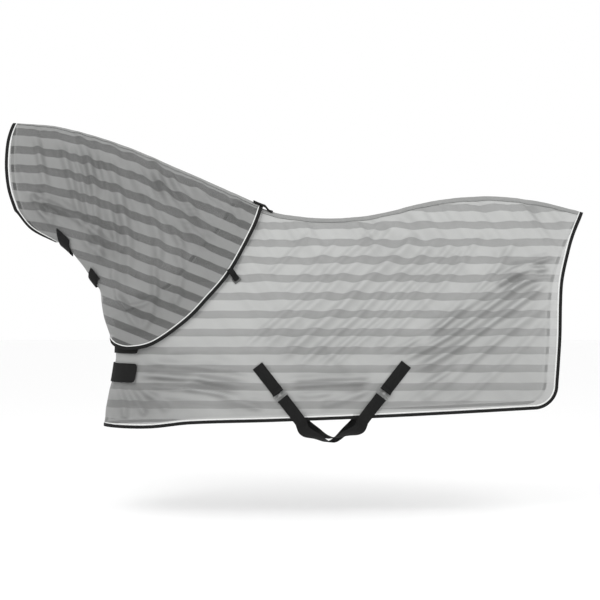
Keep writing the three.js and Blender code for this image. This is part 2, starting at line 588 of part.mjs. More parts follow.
// The withers strap is sewn to the spine and closes forward over the end of the crest.
const strapDepths = [0.3, 3, 8];
const WITHERS_STRAP_LIFT = TAPE_LIFT + TAPE_THICK + 3;
const withersRows = steps(CREST_END - 26, CREST_END - 26 + WITHERS_STRAP_LENGTH, 10).map((x) => {
  const down = smoothstep(x, CREST_END + 20, CREST_END + 44);
  const lift = new THREE.Vector3(0, 0, CREST_RISE * (1 - down));
  const point = (side, depth) => {
    const { p, n } = onSide(side, x, ridge(x) - depth);
    return { p: p.add(lift).addScaledVector(n, lerp(WITHERS_STRAP_LIFT + 2, WITHERS_STRAP_LIFT, down)), n };
  };
  return [...strapDepths.slice().reverse().map((d) => point(-1, d)), ...strapDepths.map((d) => point(1, d))];
});
add("withers_strap", skin(withersRows, 0, TAB_THICK), black);

// Square patches sewn inside near the rear edge.
const tailPatch = { x: along(0.83), z: -0.28 * DROP, slope: 0, lean: 1 };
for (const [hand, side] of [["left", -1], ["right", 1]]) {
  const rows = sidePatch(side, tailPatch, TAIL_PATCH, TAIL_PATCH, level(-FACING_GAP - FACING_THICK));
  add(`${hand}_tail_patch`, skin(rows, 0, FACING_THICK), facing);
}

export default sheet;
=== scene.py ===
# %% [markdown]
# # A mesh fly sheet with a combo neck cover
# A fly sheet is a light horse rug of see-through striped mesh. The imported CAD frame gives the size, the
# moving bodies and the place of every piece. Here each cloth piece is cut and hung again as real cloth:
# one thin sheet with folds, bound at its edges, and the straps and fittings get their true finish.

# %% Load the frame
import math
import bpy
import bmesh
import numpy as np
from mathutils import Matrix, Vector, noise
from mathutils.bvhtree import BVHTree


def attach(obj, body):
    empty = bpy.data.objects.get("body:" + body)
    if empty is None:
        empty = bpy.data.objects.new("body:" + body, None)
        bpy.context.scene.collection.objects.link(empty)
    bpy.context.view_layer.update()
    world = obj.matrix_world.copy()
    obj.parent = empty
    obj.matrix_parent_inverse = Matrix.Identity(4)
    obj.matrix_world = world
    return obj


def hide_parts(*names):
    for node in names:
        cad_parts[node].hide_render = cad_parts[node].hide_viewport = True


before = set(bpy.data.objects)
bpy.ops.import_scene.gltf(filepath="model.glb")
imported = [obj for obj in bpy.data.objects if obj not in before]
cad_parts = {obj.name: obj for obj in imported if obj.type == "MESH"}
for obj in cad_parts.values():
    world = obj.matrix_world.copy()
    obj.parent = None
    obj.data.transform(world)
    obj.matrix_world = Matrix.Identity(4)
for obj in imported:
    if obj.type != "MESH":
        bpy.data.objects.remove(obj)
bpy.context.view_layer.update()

SCENE = bpy.context.scene

# %% [markdown]
# The camera stands to the side of the sheet, far away with a long lens, so the near and far hems almost
# line up. It is level, at half the height of the sheet.

# %% Camera
CAMERA_DISTANCE = 7.0
LENS_MM = 97.7
VIEW_CENTRE = (0.163, -0.391)  # x and height of the middle of the view


def add_camera():
    data = bpy.data.cameras.new("side_camera")
    data.lens, data.sensor_width = LENS_MM, 36.0
    camera = bpy.data.objects.new("side_camera", data)
    camera.location = (VIEW_CENTRE[0], -CAMERA_DISTANCE, VIEW_CENTRE[1])
    camera.rotation_euler = (math.pi / 2, 0, 0)
    SCENE.collection.objects.link(camera)
    SCENE.camera = camera


add_camera()

# %% [markdown]
# The light is a bright even studio: a white surround and one large soft lamp in front and above, so the
# folds get a light side and a shaded side while the see-through mesh still glows from behind.

# %% Light and floor
SURROUND_STRENGTH = 1.0
FLOOR_HEIGHT = -1.3
LAMPS = {  # position, power in watts, size in metres
    "key_lamp": ((-1.6, -3.2, 2.6), 70, 2.2),
    "rim_lamp": ((2.2, -1.8, 2.0), 22, 1.6),
}


def add_lamp(name, place, power, size):
    data = bpy.data.lights.new(name, "AREA")
    data.energy, data.size = power, size
    lamp = bpy.data.objects.new(name, data)
    lamp.location = place
    aim = Vector((0.2, 0.0, -0.4)) - lamp.location
    lamp.rotation_euler = aim.to_track_quat("-Z", "Y").to_euler()
    SCENE.collection.objects.link(lamp)


def set_surround():
    world = bpy.data.worlds.new("white_studio")
    world.use_nodes = True
    world.node_tree.nodes["Background"].inputs["Color"].default_value = (1, 1, 1, 1)
    world.node_tree.nodes["Background"].inputs["Strength"].default_value = SURROUND_STRENGTH
    SCENE.world = world
    SCENE.view_settings.view_transform = "Standard"


def add_floor():
    bpy.ops.mesh.primitive_plane_add(size=60, location=(0.16, 0, FLOOR_HEIGHT))
    floor = bpy.context.object
    floor.name = "studio_floor"
    paint = bpy.data.materials.new("floor_paint")
    paint.use_nodes = True
    shader = paint.node_tree.nodes["Principled BSDF"]
    shader.inputs["Base Color"].default_value = (0.97, 0.97, 0.97, 1)
    shader.inputs["Roughness"].default_value = 0.9
    floor.data.materials.append(paint)


for lamp_name, lamp_facts in LAMPS.items():
    add_lamp(lamp_name, *lamp_facts)
set_surround()
add_floor()

# %% [markdown]
# The shape of the hung sheet comes from a few outlines seen from the side, the same ones that the CAD
# uses. An outline point is a share: of the fore length ahead of the withers, of the back length behind
# them, and of the drop in height. A smooth curve runs through the points.

# %% Outlines
BACK_LENGTH, FORE_LENGTH, DROP = 1.361, 1.050, 0.900
SHOULDER, BARREL, RUMP = 0.187, 0.204, 0.152
CHEST_DEPTH, POLL, NECK_BASE = 0.200, 0.082, 0.150
CHEST_LAP, NECK_EASE, CREST_RISE, CREST_END = 0.009, 0.012, 0.013, -0.014
CENTRE_GAP = 0.0016
LAP_ANGLE = math.radians(14)


def along(share):
    share = np.asarray(share, float)
    return share * np.where(share < 0, FORE_LENGTH, BACK_LENGTH)


def smooth(x, low, high):
    t = np.clip((np.asarray(x, float) - low) / (high - low), 0, 1)
    return t * t * (3 - 2 * t)


def mix(a, b, t):
    return a + (b - a) * t


def profile(points):
    """A smooth curve through [x, value] points in rising x, level past its ends."""
    xs, ys = (np.array(axis, float) for axis in zip(*points))
    before = np.maximum(np.arange(len(xs)) - 1, 0)
    after = np.minimum(np.arange(len(xs)) + 1, len(xs) - 1)
    slopes = (ys[after] - ys[before]) / (xs[after] - xs[before])

    def curve(x):
        x = np.asarray(x, float)
        i = np.clip(np.searchsorted(xs, x, side="left") - 1, 0, len(xs) - 2)
        span = xs[i + 1] - xs[i]
        t = np.clip((x - xs[i]) / span, 0, 1)
        bend = span * (slopes[i] * t * (1 - t) ** 2 - slopes[i + 1] * t * t * (1 - t))
        return mix(ys[i], ys[i + 1], t * t * (3 - 2 * t)) + bend

    return curve


def height_at(points):
    return profile([(float(along(x)), z * DROP) for x, z in points])


def reach_at(points):
    return profile([(z * DROP, float(along(x))) for x, z in points])


def outline(points):
    """A curve through side-view points, read as (x, z) at t from 0 to 1."""
    knots = np.array([(float(along(x)), z * DROP) for x, z in points])

    def curve(t):
        place = np.clip(np.asarray(t, float), 0, 1) * (len(knots) - 1)
        i = np.minimum(place.astype(int), len(knots) - 2)
        w = (place - i)[..., None]
        p0, p1 = knots[np.maximum(i - 1, 0)], knots[i]
        p2, p3 = knots[i + 1], knots[np.minimum(i + 2, len(knots) - 1)]
        v0, v1 = (p2 - p0) / 2, (p3 - p1) / 2
        return (2 * p1 - 2 * p2 + v0 + v1) * w**3 + (3 * p2 - 3 * p1 - 2 * v0 - v1) * w**2 + v0 * w + p1

    return curve


ridge = height_at([
    (-1, 0.392), (-0.828, 0.374), (-0.582, 0.292), (-0.336, 0.172), (-0.09, 0.046), (0, 0), (0.072, -0.03),
    (0.215, -0.048), (0.357, -0.029), (0.544, 0.036), (0.711, 0.058), (0.86, 0.037), (1, -0.012),
])
hem = height_at([
    (-0.648, -1.011), (-0.443, -1.011), (-0.286, -0.992), (0.029, -0.98), (0.397, -0.958), (0.808, -0.927),
    (0.92, -0.918),
])
neckline = height_at([
    (-0.61, -0.54), (-0.529, -0.498), (-0.424, -0.42), (-0.342, -0.358), (-0.252, -0.229), (-0.164, -0.106),
    (-0.09, 0.046),
])
breast = reach_at([(-0.637, -1.03), (-0.624, -0.911), (-0.603, -0.817), (-0.587, -0.659), (-0.6, -0.511)])
tail_edge = reach_at([
    (0.903, -0.83), (0.912, -0.622), (0.915, -0.458), (0.921, -0.346), (0.939, -0.234), (0.964, -0.122),
    (1, -0.012),
])
NECKLINE_END = float(along(-0.09))

# %% [markdown]
# From the front the sheet is a narrow ridge that falls away to nearly upright sides. One function gives
# its half width at any length and height, and it is rounded at the ridge and draws in a little at the hem.

# %% Cross-section
FULL_WIDTH, RIDGE_ROUNDING, HEM_TUCK = 0.6, 0.7, 0.035
girth = profile([
    (float(along(-0.42)), SHOULDER), (float(along(0.21)), BARREL),
    (float(along(0.62)), mix(RUMP, BARREL, 0.8)), (BACK_LENGTH, RUMP),
])


def half_width(x, z):
    depth = np.maximum(0, (ridge(x) - z) / DROP)
    rounding = np.sin(math.pi / 2 * np.minimum(1, depth / FULL_WIDTH)) ** RIDGE_ROUNDING
    return girth(x) * rounding * (1 - HEM_TUCK * smooth(depth, FULL_WIDTH + 0.15, 1))


def on_body(q, z, side):
    """A point of the body sheet: q is 0 at the front edge, 1 at the side of the chest, 2 at the rear."""
    back = breast(z) + CHEST_DEPTH
    angle = mix(-LAP_ANGLE, math.pi / 2, np.minimum(q, 1))
    lap = CHEST_LAP * (1 - smooth(q, 0.35, 1)) if side < 0 else 0
    front_x = back - (CHEST_DEPTH + lap) * np.cos(angle)
    front_y = (half_width(back, z) + lap) * np.sin(angle)
    side_x = mix(back, tail_edge(z), np.maximum(q, 1) - 1)
    side_y = np.maximum(CENTRE_GAP, half_width(side_x, z))
    x, y = np.where(q >= 1, side_x, front_x), np.where(q >= 1, side_y, front_y)
    return np.stack([x, side * y, z + 0 * x], axis=-1)


FRONT_CORNER, REAR_CORNER = 0.050, 0.078


def corner_rise(distance, radius):
    """How far a rounded corner lifts the hem, that far in from the upright edge."""
    inset = np.clip(radius - distance, 0, radius)
    return radius - np.sqrt(radius**2 - inset**2)


def edge_height(q, side, edge):
    z = np.full(np.shape(q), -0.5 * DROP)
    for _ in range(30):
        z = mix(z, edge(on_body(q, z, side)[..., 0]), 0.6)
    return z


def top_of(x):
    return np.where(x < NECKLINE_END, neckline(x), ridge(x))


def body_surface(q, v, side):
    """The body sheet at q along it and v down it, 0 at the neckline or ridge and 1 at the hem."""
    chest_arc = (CHEST_DEPTH + SHOULDER) / 2 * (math.pi / 2 + LAP_ANGLE)
    from_front = np.where(q < 1, chest_arc * np.minimum(q, 1), 9)
    top = edge_height(q, side, top_of) - corner_rise(from_front, FRONT_CORNER / 2)
    low = edge_height(q, side, hem)
    to_rear = np.where(q < 1, 9, tail_edge(low) - on_body(q, low, side)[..., 0])
    rise = corner_rise(from_front, FRONT_CORNER) + corner_rise(to_rear, REAR_CORNER)
    return on_body(q, mix(top, low + rise, v), side)


# %% [markdown]
# The neck cover is drawn between four edges: crest, throat, poll and shoulder. Ahead of the chest it has
# its own round section, and behind that it lies just outside the body sheet.

# %% Neck surface
OPEN_SHARE, OPEN_SECTION = 0.25, 0.6  # the lower edge is open below the poll, where the section ends early
lower_edge = outline([
    (-0.985, -0.005), (-0.93, -0.088), (-0.822, -0.165), (-0.75, -0.243), (-0.692, -0.338),
    (-0.66, -0.392), (-0.654, -0.458), (-0.645, -0.52), (-0.622, -0.6),
])
poll_edge = outline([(-1, 0.4064), (-1.018, 0.315), (-1.022, 0.2), (-1.011, 0.09), (-0.985, -0.005)])
shoulder_edge = outline([
    (CREST_END / FORE_LENGTH, (float(ridge(CREST_END)) + CREST_RISE) / DROP), (-0.045, -0.091),
    (-0.135, -0.293), (-0.225, -0.42), (-0.307, -0.518), (-0.429, -0.619), (-0.521, -0.646),
    (-0.584, -0.634), (-0.622, -0.6),
])
throat_reach = reach_at([(-0.622, -0.6), (-0.645, -0.52), (-0.654, -0.458), (-0.66, -0.392), (-0.66, 0)])


def crest(u):
    x = mix(-FORE_LENGTH, CREST_END, u)
    return np.stack([x, ridge(x) + CREST_RISE], axis=-1)


def shoulder_width(x, z):
    back = throat_reach(z) + CHEST_DEPTH
    inset = np.clip((back - x) / CHEST_DEPTH, 0, 1)
    return half_width(np.maximum(x, back), z) * np.sqrt(1 - inset**2)


def neck_surface(u, v, side):
    """The neck cover at u from poll to shoulder and v from crest to throat."""
    u, v = np.clip(u, 0, 1), np.clip(v, 0, 1)
    uu, vv = u[..., None], v[..., None]
    p, s = poll_edge(v), shoulder_edge(v)
    corner = {(i, j): (crest if j == 0 else lower_edge)(np.array(float(i))) for i in (0, 1) for j in (0, 1)}
    flat = mix(crest(u), lower_edge(u), vv) + mix(p, s, uu)
    flat = flat - mix(mix(corner[0, 0], corner[1, 0], uu), mix(corner[0, 1], corner[1, 1], uu), vv)
    x, z = flat[..., 0], flat[..., 1]
    around = v * mix(OPEN_SECTION, 1, np.minimum(1, u / OPEN_SHARE))
    own = mix(POLL, NECK_BASE, u) * np.sin(math.pi * around**0.85).clip(0) ** RIDGE_ROUNDING
    under = z - CREST_RISE * (1 - smooth(v, 0, 0.5))
    ease = NECK_EASE * smooth(v, 0, 0.06) * (1 - smooth(v, 0.94, 1))
    over = shoulder_width(x, under) + ease
    y = np.maximum(CENTRE_GAP, mix(own, over, smooth(u, 0.5, 0.8)))
    return np.stack([x, side * y, z], axis=-1)


# %% [markdown]
# Cloth never hangs quite smooth. A fold here is a line in the side view with a width and a height, and
# the cloth rises or sinks along it. Long pulls run from the strap anchors to the croup and the tail, and
# small gathers hang from the spine. The sum of all of them moves the cloth along its own normal.

# %% Folds
def line_distance(x, z, path):
    """Signed distance to a line of (x, z) points, and how far along it the nearest point is."""
    best = np.full(x.shape, 9.0)
    signed, share = np.zeros(x.shape), np.zeros(x.shape)
    path = np.array(path, float)
    lengths = np.linalg.norm(np.diff(path, axis=0), axis=1)
    done = 0.0
    for (ax, az), (bx, bz), length in zip(path[:-1], path[1:], lengths):
        dx, dz = (bx - ax) / length, (bz - az) / length
        t = np.clip((x - ax) * dx + (z - az) * dz, 0, length)
        ox, oz = x - ax - t * dx, z - az - t * dz
        distance = np.hypot(ox, oz)
        nearer = distance < best
        best = np.where(nearer, distance, best)
        signed = np.where(nearer, np.sign(dx * oz - dz * ox) * distance, signed)
        share = np.where(nearer, (done + t) / lengths.sum(), share)
        done += length
    return signed, share


def fold(x, z, path, width, height, skew=0.35, fade=0.14):
    """A rounded ridge along a path with a shallow valley beside it."""
    d, s = line_distance(x, z, path)
    d = d / width
    ends = smooth(s, 0, fade) * (1 - smooth(s, 1 - fade, 1)) if fade else 1
    return height * ends * (np.exp(-d * d) - skew * np.exp(-((d - 1.5) ** 2)))


def spread(path, dx, dz):
    return [(x + dx, z + dz) for x, z in path]


# Lines in metres from the withers, as (x, height).
CHEST_PULL = [(-0.53, -0.70), (-0.30, -0.715), (-0.05, -0.745), (0.06, -0.755)]
BELLY_PULL = [(0.07, -0.752), (0.28, -0.738), (0.50, -0.730)]
TAIL_PULL = [(0.53, -0.735), (0.68, -0.665), (0.82, -0.585), (0.94, -0.50), (1.08, -0.40), (1.23, -0.30)]
CROUP_PULL = [(0.05, -0.665), (0.19, -0.54), (0.335, -0.42), (0.44, -0.31), (0.595, -0.18), (0.69, -0.075)]
BODY_FOLDS = [  # path, width, height
    (CHEST_PULL, 0.018, 0.014), (spread(CHEST_PULL, 0.02, -0.050), 0.016, 0.011),
    (spread(CHEST_PULL, 0.05, 0.045), 0.018, 0.005), (spread(CHEST_PULL, 0.01, -0.085), 0.018, 0.005),
    (BELLY_PULL, 0.015, 0.015), (spread(BELLY_PULL, 0, -0.042), 0.016, 0.008),
    (TAIL_PULL, 0.018, 0.016), (spread(TAIL_PULL, -0.040, 0.045), 0.015, 0.012),
    (spread(TAIL_PULL, 0.055, -0.055), 0.018, 0.007), (spread(TAIL_PULL, -0.075, 0.085), 0.013, 0.007),
    (CROUP_PULL, 0.020, 0.012), (spread(CROUP_PULL, 0.075, -0.03), 0.016, 0.009),
    (spread(CROUP_PULL, 0.15, -0.04), 0.015, 0.007), (spread(CROUP_PULL, -0.08, 0.04), 0.018, 0.008),
    (spread(CROUP_PULL, 0.22, -0.03), 0.013, 0.006), (spread(CROUP_PULL, -0.15, 0.05), 0.014, 0.006),
    ([(0.44, -0.64), (0.58, -0.50), (0.72, -0.37), (0.84, -0.24), (0.95, -0.08)], 0.015, 0.007),
    ([(0.55, -0.69), (0.70, -0.55), (0.85, -0.41), (0.98, -0.27), (1.10, -0.10)], 0.015, 0.008),
    ([(0.62, -0.84), (0.80, -0.72), (0.96, -0.58), (1.10, -0.46), (1.22, -0.36)], 0.018, 0.007),
    ([(0.50, -0.86), (0.66, -0.77), (0.80, -0.67), (0.94, -0.56), (1.08, -0.46)], 0.017, 0.007),
    ([(0.72, -0.88), (0.88, -0.78), (1.02, -0.66), (1.16, -0.52), (1.24, -0.44)], 0.018, 0.006),
    ([(0.24, -0.835), (0.36, -0.80), (0.50, -0.762)], 0.018, 0.010),
    ([(0.02, -0.30), (0.12, -0.20), (0.22, -0.10)], 0.014, 0.006),
    ([(0.08, -0.38), (0.22, -0.25), (0.34, -0.12)], 0.014, 0.006),
    ([(-0.34, -0.745), (-0.15, -0.79), (0.02, -0.85)], 0.018, 0.009),
    ([(-0.28, -0.715), (-0.06, -0.765), (0.10, -0.83)], 0.016, 0.007),
    ([(-0.60, -0.74), (-0.575, -0.82), (-0.57, -0.90)], 0.015, 0.006),
    ([(-0.57, -0.74), (-0.52, -0.81), (-0.48, -0.88)], 0.016, 0.006),
    ([(-0.54, -0.74), (-0.46, -0.79), (-0.38, -0.86)], 0.016, 0.005),
    ([(0.98, -0.335), (1.05, -0.29), (1.13, -0.262), (1.22, -0.262)], 0.011, 0.014),
    ([(0.96, -0.32), (1.06, -0.262), (1.16, -0.232), (1.24, -0.21)], 0.010, 0.011),
    ([(1.02, -0.36), (1.10, -0.315), (1.19, -0.295), (1.25, -0.30)], 0.010, 0.009),
]


def gathers(x, z, slant, spacing, height, seed, depth):
    """Small irregular creases that hang from the ridge and die out below it."""
    across = (x + slant * z) / spacing
    wave = np.array([noise.noise(Vector((a, seed, b))) for a, b in zip(across.ravel(), (z / 0.5).ravel())])
    fade = np.exp(-np.maximum(0, ridge(x) - z) / depth)
    return height * wave.reshape(x.shape) * fade


def body_folds(x, z, mirror_shift=0.0):
    lift = sum(fold(x - mirror_shift, z, path, width, height) for path, width, height in BODY_FOLDS)
    lift = lift + gathers(x, z, 0.65, 0.030, 0.009, 3.0 + mirror_shift, 0.16)
    lift = lift + gathers(x, z, 0.9, 0.075, 0.010, 7.0 + mirror_shift, 1.2)
    return lift * sewn_calm(x, z, BODY_SEWN)


# Sewn patches and tabs hold the cloth flat around them: (x, height, radius).
BODY_SEWN = [
    (0.026, -0.718, 0.110), (0.566, -0.711, 0.125), (0.075, -0.785, 0.085), (0.517, -0.780, 0.085),
    (0.115, -0.840, 0.070), (0.475, -0.835, 0.070),
    (-0.104, -0.305, 0.04), (-0.60, -0.700, 0.06),
]
NECK_SEWN = [(-0.840, -0.135, 0.100), (-0.712, -0.280, 0.080), (-0.134, -0.260, 0.03)]


def sewn_calm(x, z, places):
    calm = np.ones(x.shape)
    for px, pz, radius in places:
        calm = calm * (0.08 + 0.92 * smooth(np.hypot(x - px, z - pz), 0.45 * radius, 1.3 * radius))
    return calm


NECK_FOLDS = [
    ([(-0.86, 0.30), (-0.80, 0.10), (-0.76, -0.08), (-0.72, -0.22)], 0.016, 0.011),
    ([(-0.75, 0.27), (-0.71, 0.08), (-0.69, -0.12), (-0.67, -0.30)], 0.017, 0.012),
    ([(-0.81, 0.29), (-0.76, 0.12), (-0.73, -0.04), (-0.71, -0.16)], 0.012, 0.008),
    ([(-0.96, 0.32), (-0.93, 0.15), (-0.90, 0.0), (-0.87, -0.12)], 0.016, 0.009),
    ([(-0.98, 0.07), (-0.93, -0.02), (-0.88, -0.09), (-0.84, -0.13)], 0.014, 0.014),
    ([(-0.99, 0.05), (-0.88, 0.01), (-0.76, -0.06), (-0.62, -0.17)], 0.014, 0.012),
    ([(-0.99, 0.02), (-0.86, -0.06), (-0.72, -0.16), (-0.58, -0.30)], 0.014, 0.008),
    ([(-0.66, 0.24), (-0.60, 0.06), (-0.56, -0.12), (-0.55, -0.34)], 0.018, 0.010),
    ([(-0.70, 0.25), (-0.655, 0.08), (-0.62, -0.10), (-0.61, -0.26)], 0.012, 0.007),
    ([(-0.48, 0.18), (-0.40, 0.06), (-0.32, -0.06), (-0.22, -0.19)], 0.016, 0.014),
    ([(-0.54, 0.20), (-0.46, 0.06), (-0.38, -0.08), (-0.30, -0.22)], 0.013, 0.009),
    ([(-0.40, 0.16), (-0.33, 0.05), (-0.27, -0.05), (-0.17, -0.14)], 0.014, 0.010),
    ([(-0.58, 0.20), (-0.48, 0.02), (-0.43, -0.14), (-0.42, -0.26)], 0.018, 0.011),
    ([(-0.30, 0.11), (-0.24, 0.04), (-0.18, 0.0), (-0.10, -0.05)], 0.014, 0.008),
    ([(-0.64, -0.25), (-0.60, -0.36), (-0.55, -0.45), (-0.50, -0.52)], 0.015, 0.010),
    ([(-0.45, -0.22), (-0.44, -0.34), (-0.46, -0.45), (-0.50, -0.53)], 0.016, 0.010),
    ([(-0.36, -0.16), (-0.33, -0.26), (-0.34, -0.36), (-0.37, -0.43)], 0.015, 0.008),
    ([(-0.62, -0.36), (-0.56, -0.42), (-0.50, -0.41), (-0.42, -0.37)], 0.012, 0.009),
]


def neck_folds(x, z, mirror_shift=0.0):
    lift = sum(fold(x - mirror_shift, z, path, width, height) for path, width, height in NECK_FOLDS)
    lift = lift + gathers(x, z, 0.35, 0.034, 0.010, 11.0 + mirror_shift, 0.5)
    return lift * sewn_calm(x, z, NECK_SEWN)


# %% [markdown]
# Each panel is one open grid of quads, because real mesh cloth is thinner than a thread of the drawing.
# Two things are kept on it from before the folds: a UV map in metres, which the stripes and the weave
# follow, and a crease shade value, which is high where the cloth turns steeply: it paints shade into the
# folds and makes the cloth a little denser there.

# %% Cloth grids
def normals_of(points, side):
    du = np.gradient(points, axis=0)
    dv = np.gradient(points, axis=1)
    n = np.cross(du, dv) * side
    return n / np.maximum(np.linalg.norm(n, axis=-1, keepdims=True), 1e-9)


def grid_faces(nu, nv, flip):
    i, j = np.meshgrid(np.arange(nu - 1), np.arange(nv - 1), indexing="ij")
    a = (i * nv + j).ravel()
    faces = np.stack([a, a + nv, a + nv + 1, a + 1], axis=1)
    return faces[:, ::-1] if flip else faces


def grid_object(name, points, uv, flip=False, crease_shade=None):
    nu, nv = points.shape[:2]
    data = bpy.data.meshes.new(name)
    faces = grid_faces(nu, nv, flip)
    data.from_pydata(points.reshape(-1, 3).tolist(), [], faces.tolist())
    layer = data.uv_layers.new(name="cloth")
    corners = np.array([loop.vertex_index for loop in data.loops])
    layer.data.foreach_set("uv", uv.reshape(-1, 2)[corners].ravel())
    if crease_shade is not None:
        attribute = data.attributes.new("crease_shade", "FLOAT", "POINT")
        attribute.data.foreach_set("value", crease_shade.ravel())
    data.shade_smooth()
    piece = bpy.data.objects.new(name, data)
    SCENE.collection.objects.link(piece)
    return piece


def steepness(lift, points):
    """How steeply the folds turn the cloth, as a rise over run."""
    run_u = np.linalg.norm(np.gradient(points, axis=0), axis=-1)
    run_v = np.linalg.norm(np.gradient(points, axis=1), axis=-1)
    gu, gv = np.gradient(lift)
    return np.hypot(gu / np.maximum(run_u, 1e-4), gv / np.maximum(run_v, 1e-4))


BODY_Q = np.concatenate([
    0.06 * np.linspace(0, 1, 10) ** 1.6, np.linspace(0.08, 1, 44), np.linspace(1.005, 1.94, 200),
    2 - 0.058 * np.linspace(1, 0, 22) ** 1.7,
])
BODY_V = np.concatenate([0.06 * np.linspace(0, 1, 12) ** 1.8, np.linspace(0.068, 1, 118)])
NECK_U = np.linspace(0, 1, 150)
NECK_V = np.concatenate([0.05 * np.linspace(0, 1, 9) ** 1.6, np.linspace(0.056, 1, 110)])


def edge_calm(u, v, margin_u, margin_v):
    """Folds die out at the bound edges, which hold the cloth flat."""
    hold_u = np.minimum(smooth(u - u.min(), 0, margin_u), smooth(u.max() - u, 0, margin_u))
    hold_v = np.minimum(smooth(v, 0, margin_v), smooth(1 - v, 0, margin_v))
    return 0.12 + 0.88 * hold_u * hold_v


def make_panel(surface, u_line, v_line, side, folds, shift, limit, margins):
    u, v = np.meshgrid(u_line, v_line, indexing="ij")
    smooth_points = surface(u, v, side)
    n = normals_of(smooth_points, side)
    x, z = smooth_points[..., 0], smooth_points[..., 2]
    lift = folds(x, z, shift) * edge_calm(u, v, *margins)
    lift = np.clip(lift, -limit[0], limit[1])
    points = smooth_points + n * lift[..., None]
    return points, n, lift, smooth_points


def body_uv(points, lift):
    along_cloth = np.cumsum(np.linalg.norm(np.diff(points, axis=0, prepend=points[:1]), axis=-1), axis=0)
    return np.stack([along_cloth, points[..., 2] - 0.45 * lift], axis=-1)


def crest_line(x):
    return ridge(x) + CREST_RISE


def neck_uv(points, lift):
    x, z = points[..., 0], points[..., 2]
    slope = np.gradient(crest_line(np.linspace(-FORE_LENGTH, 0, 50)), FORE_LENGTH / 49).mean()
    below = crest_line(np.maximum(x, -FORE_LENGTH)) - z
    straight = crest_line(np.array(-0.3)) + slope * (x + 0.3) - z
    down = mix(below, straight, 0.35 * smooth(below, 0.1, 0.5)) * math.cos(math.atan(slope))
    return np.stack([x, -down - 0.45 * lift], axis=-1)


PANELS = {}
for hand, side, shift in (("left", -1, 0.0), ("right", 1, 0.06)):
    for part, surface, lines, folds, limit, margins, uv_of in (
        ("body", body_surface, (BODY_Q, BODY_V), body_folds, (0.016, 0.026), (0.05, 0.05), body_uv),
        ("neck", neck_surface, (NECK_U, NECK_V), neck_folds, (0.004, 0.024), (0.05, 0.05), neck_uv),
    ):
        name = f"{hand}_{part}_cloth"
        points, n, lift, still = make_panel(surface, *lines, side, folds, shift, limit, margins)
        # Painted shade: the crease shade value darkens the cloth colour in steep folds, and also thickens it
        # there.
        crease_shade = np.clip(steepness(lift, still) * 1.1, 0, 1)
        cloth = grid_object(name, points, uv_of(still, lift), flip=side < 0, crease_shade=crease_shade)
        PANELS[hand, part] = {"object": cloth, "points": points, "normals": n, "side": side}
        area = sum(face.area for face in cloth.data.polygons)
        print(name, "quads", len(cloth.data.polygons), "area", round(area, 3), "m2")
        body = "body_sheet" if part == "body" else "neck_cover"
        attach(cloth, body)
        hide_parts(f"{hand}_{part}_panel")
        PANELS[hand, part]["area"] = area
        PANELS[hand, part]["trim"] = []

# %% [markdown]
# Stripes and weave. The mesh is knitted in broad bands: dense bands look light and hide what is behind
# them, sheer bands let the far side of the sheet show through. All of it follows the UV map.

# %% Fabric nodes
def new_group(name, inputs, outputs):
    group = bpy.data.node_groups.new(name, "ShaderNodeTree")
    for label, kind, value in inputs:
        socket = group.interface.new_socket(name=label, in_out="INPUT", socket_type=kind)
        socket.default_value = value
    for label, kind in outputs:
        group.interface.new_socket(name=label, in_out="OUTPUT", socket_type=kind)
    start = group.nodes.new("NodeGroupInput")
    end = group.nodes.new("NodeGroupOutput")
    return group, start, end


def math_node(tree, operation, a, b=None, clamp=False):
    node = tree.nodes.new("ShaderNodeMath")
    node.operation, node.use_clamp = operation, clamp
    for socket, value in zip(node.inputs, (a, b)):
        if value is None:
            continue
        if isinstance(value, (int, float)):
            socket.default_value = value
        else:
            tree.links.new(value, socket)
    return node.outputs[0]


def mix_colour(tree, factor, a, b):
    node = tree.nodes.new("ShaderNodeMix")
    node.data_type = "RGBA"
    for socket, value in ((node.inputs[0], factor), (node.inputs[6], a), (node.inputs[7], b)):
        if isinstance(value, (tuple, float, int)):
            socket.default_value = value
        else:
            tree.links.new(value, socket)
    return node.outputs[2]


def build_stripes():
    """Puts out 1 in the dense bands and 0 in the sheer ones, with soft knitted borders."""
    group, start, end = new_group(
        "knitted_stripes",
        [("Height", "NodeSocketFloat", 0.0), ("Period", "NodeSocketFloat", 0.0757),
         ("Offset", "NodeSocketFloat", 0.376), ("Sheer Share", "NodeSocketFloat", 0.42)],
        [("Dense", "NodeSocketFloat")],
    )
    shifted = math_node(group, "ADD", start.outputs["Height"], start.outputs["Offset"])
    phase = math_node(group, "DIVIDE", shifted, start.outputs["Period"])
    wrapped = math_node(group, "ABSOLUTE", math_node(group, "SUBTRACT", math_node(
        group, "FRACT", math_node(group, "ADD", phase, 100.5)), 0.5))
    edge = math_node(group, "MULTIPLY", start.outputs["Sheer Share"], 0.5)
    dense = math_node(group, "MULTIPLY", math_node(group, "SUBTRACT", wrapped, edge), 22.0)
    dense = math_node(group, "ADD", dense, 0.5, clamp=True)
    group.links.new(dense, end.inputs["Dense"])
    return group


STRIPES = build_stripes()


def build_weave():
    """Fine net of threads: puts out the thread height, 1 on a thread and 0 in a hole."""
    group, start, end = new_group(
        "net_weave",
        [("Vector", "NodeSocketVector", (0, 0, 0)), ("Threads Per Metre", "NodeSocketFloat", 500.0)],
        [("Thread", "NodeSocketFloat")],
    )
    split = group.nodes.new("ShaderNodeSeparateXYZ")
    group.links.new(start.outputs["Vector"], split.inputs[0])
    waves = []
    for axis in (0, 1):
        turns = math_node(group, "MULTIPLY", split.outputs[axis], start.outputs["Threads Per Metre"])
        wave = math_node(group, "SINE", math_node(group, "MULTIPLY", turns, 2 * math.pi))
        waves.append(math_node(group, "ADD", math_node(group, "MULTIPLY", wave, 0.5), 0.5))
    group.links.new(math_node(group, "MAXIMUM", *waves), end.inputs["Thread"])
    return group


WEAVE = build_weave()


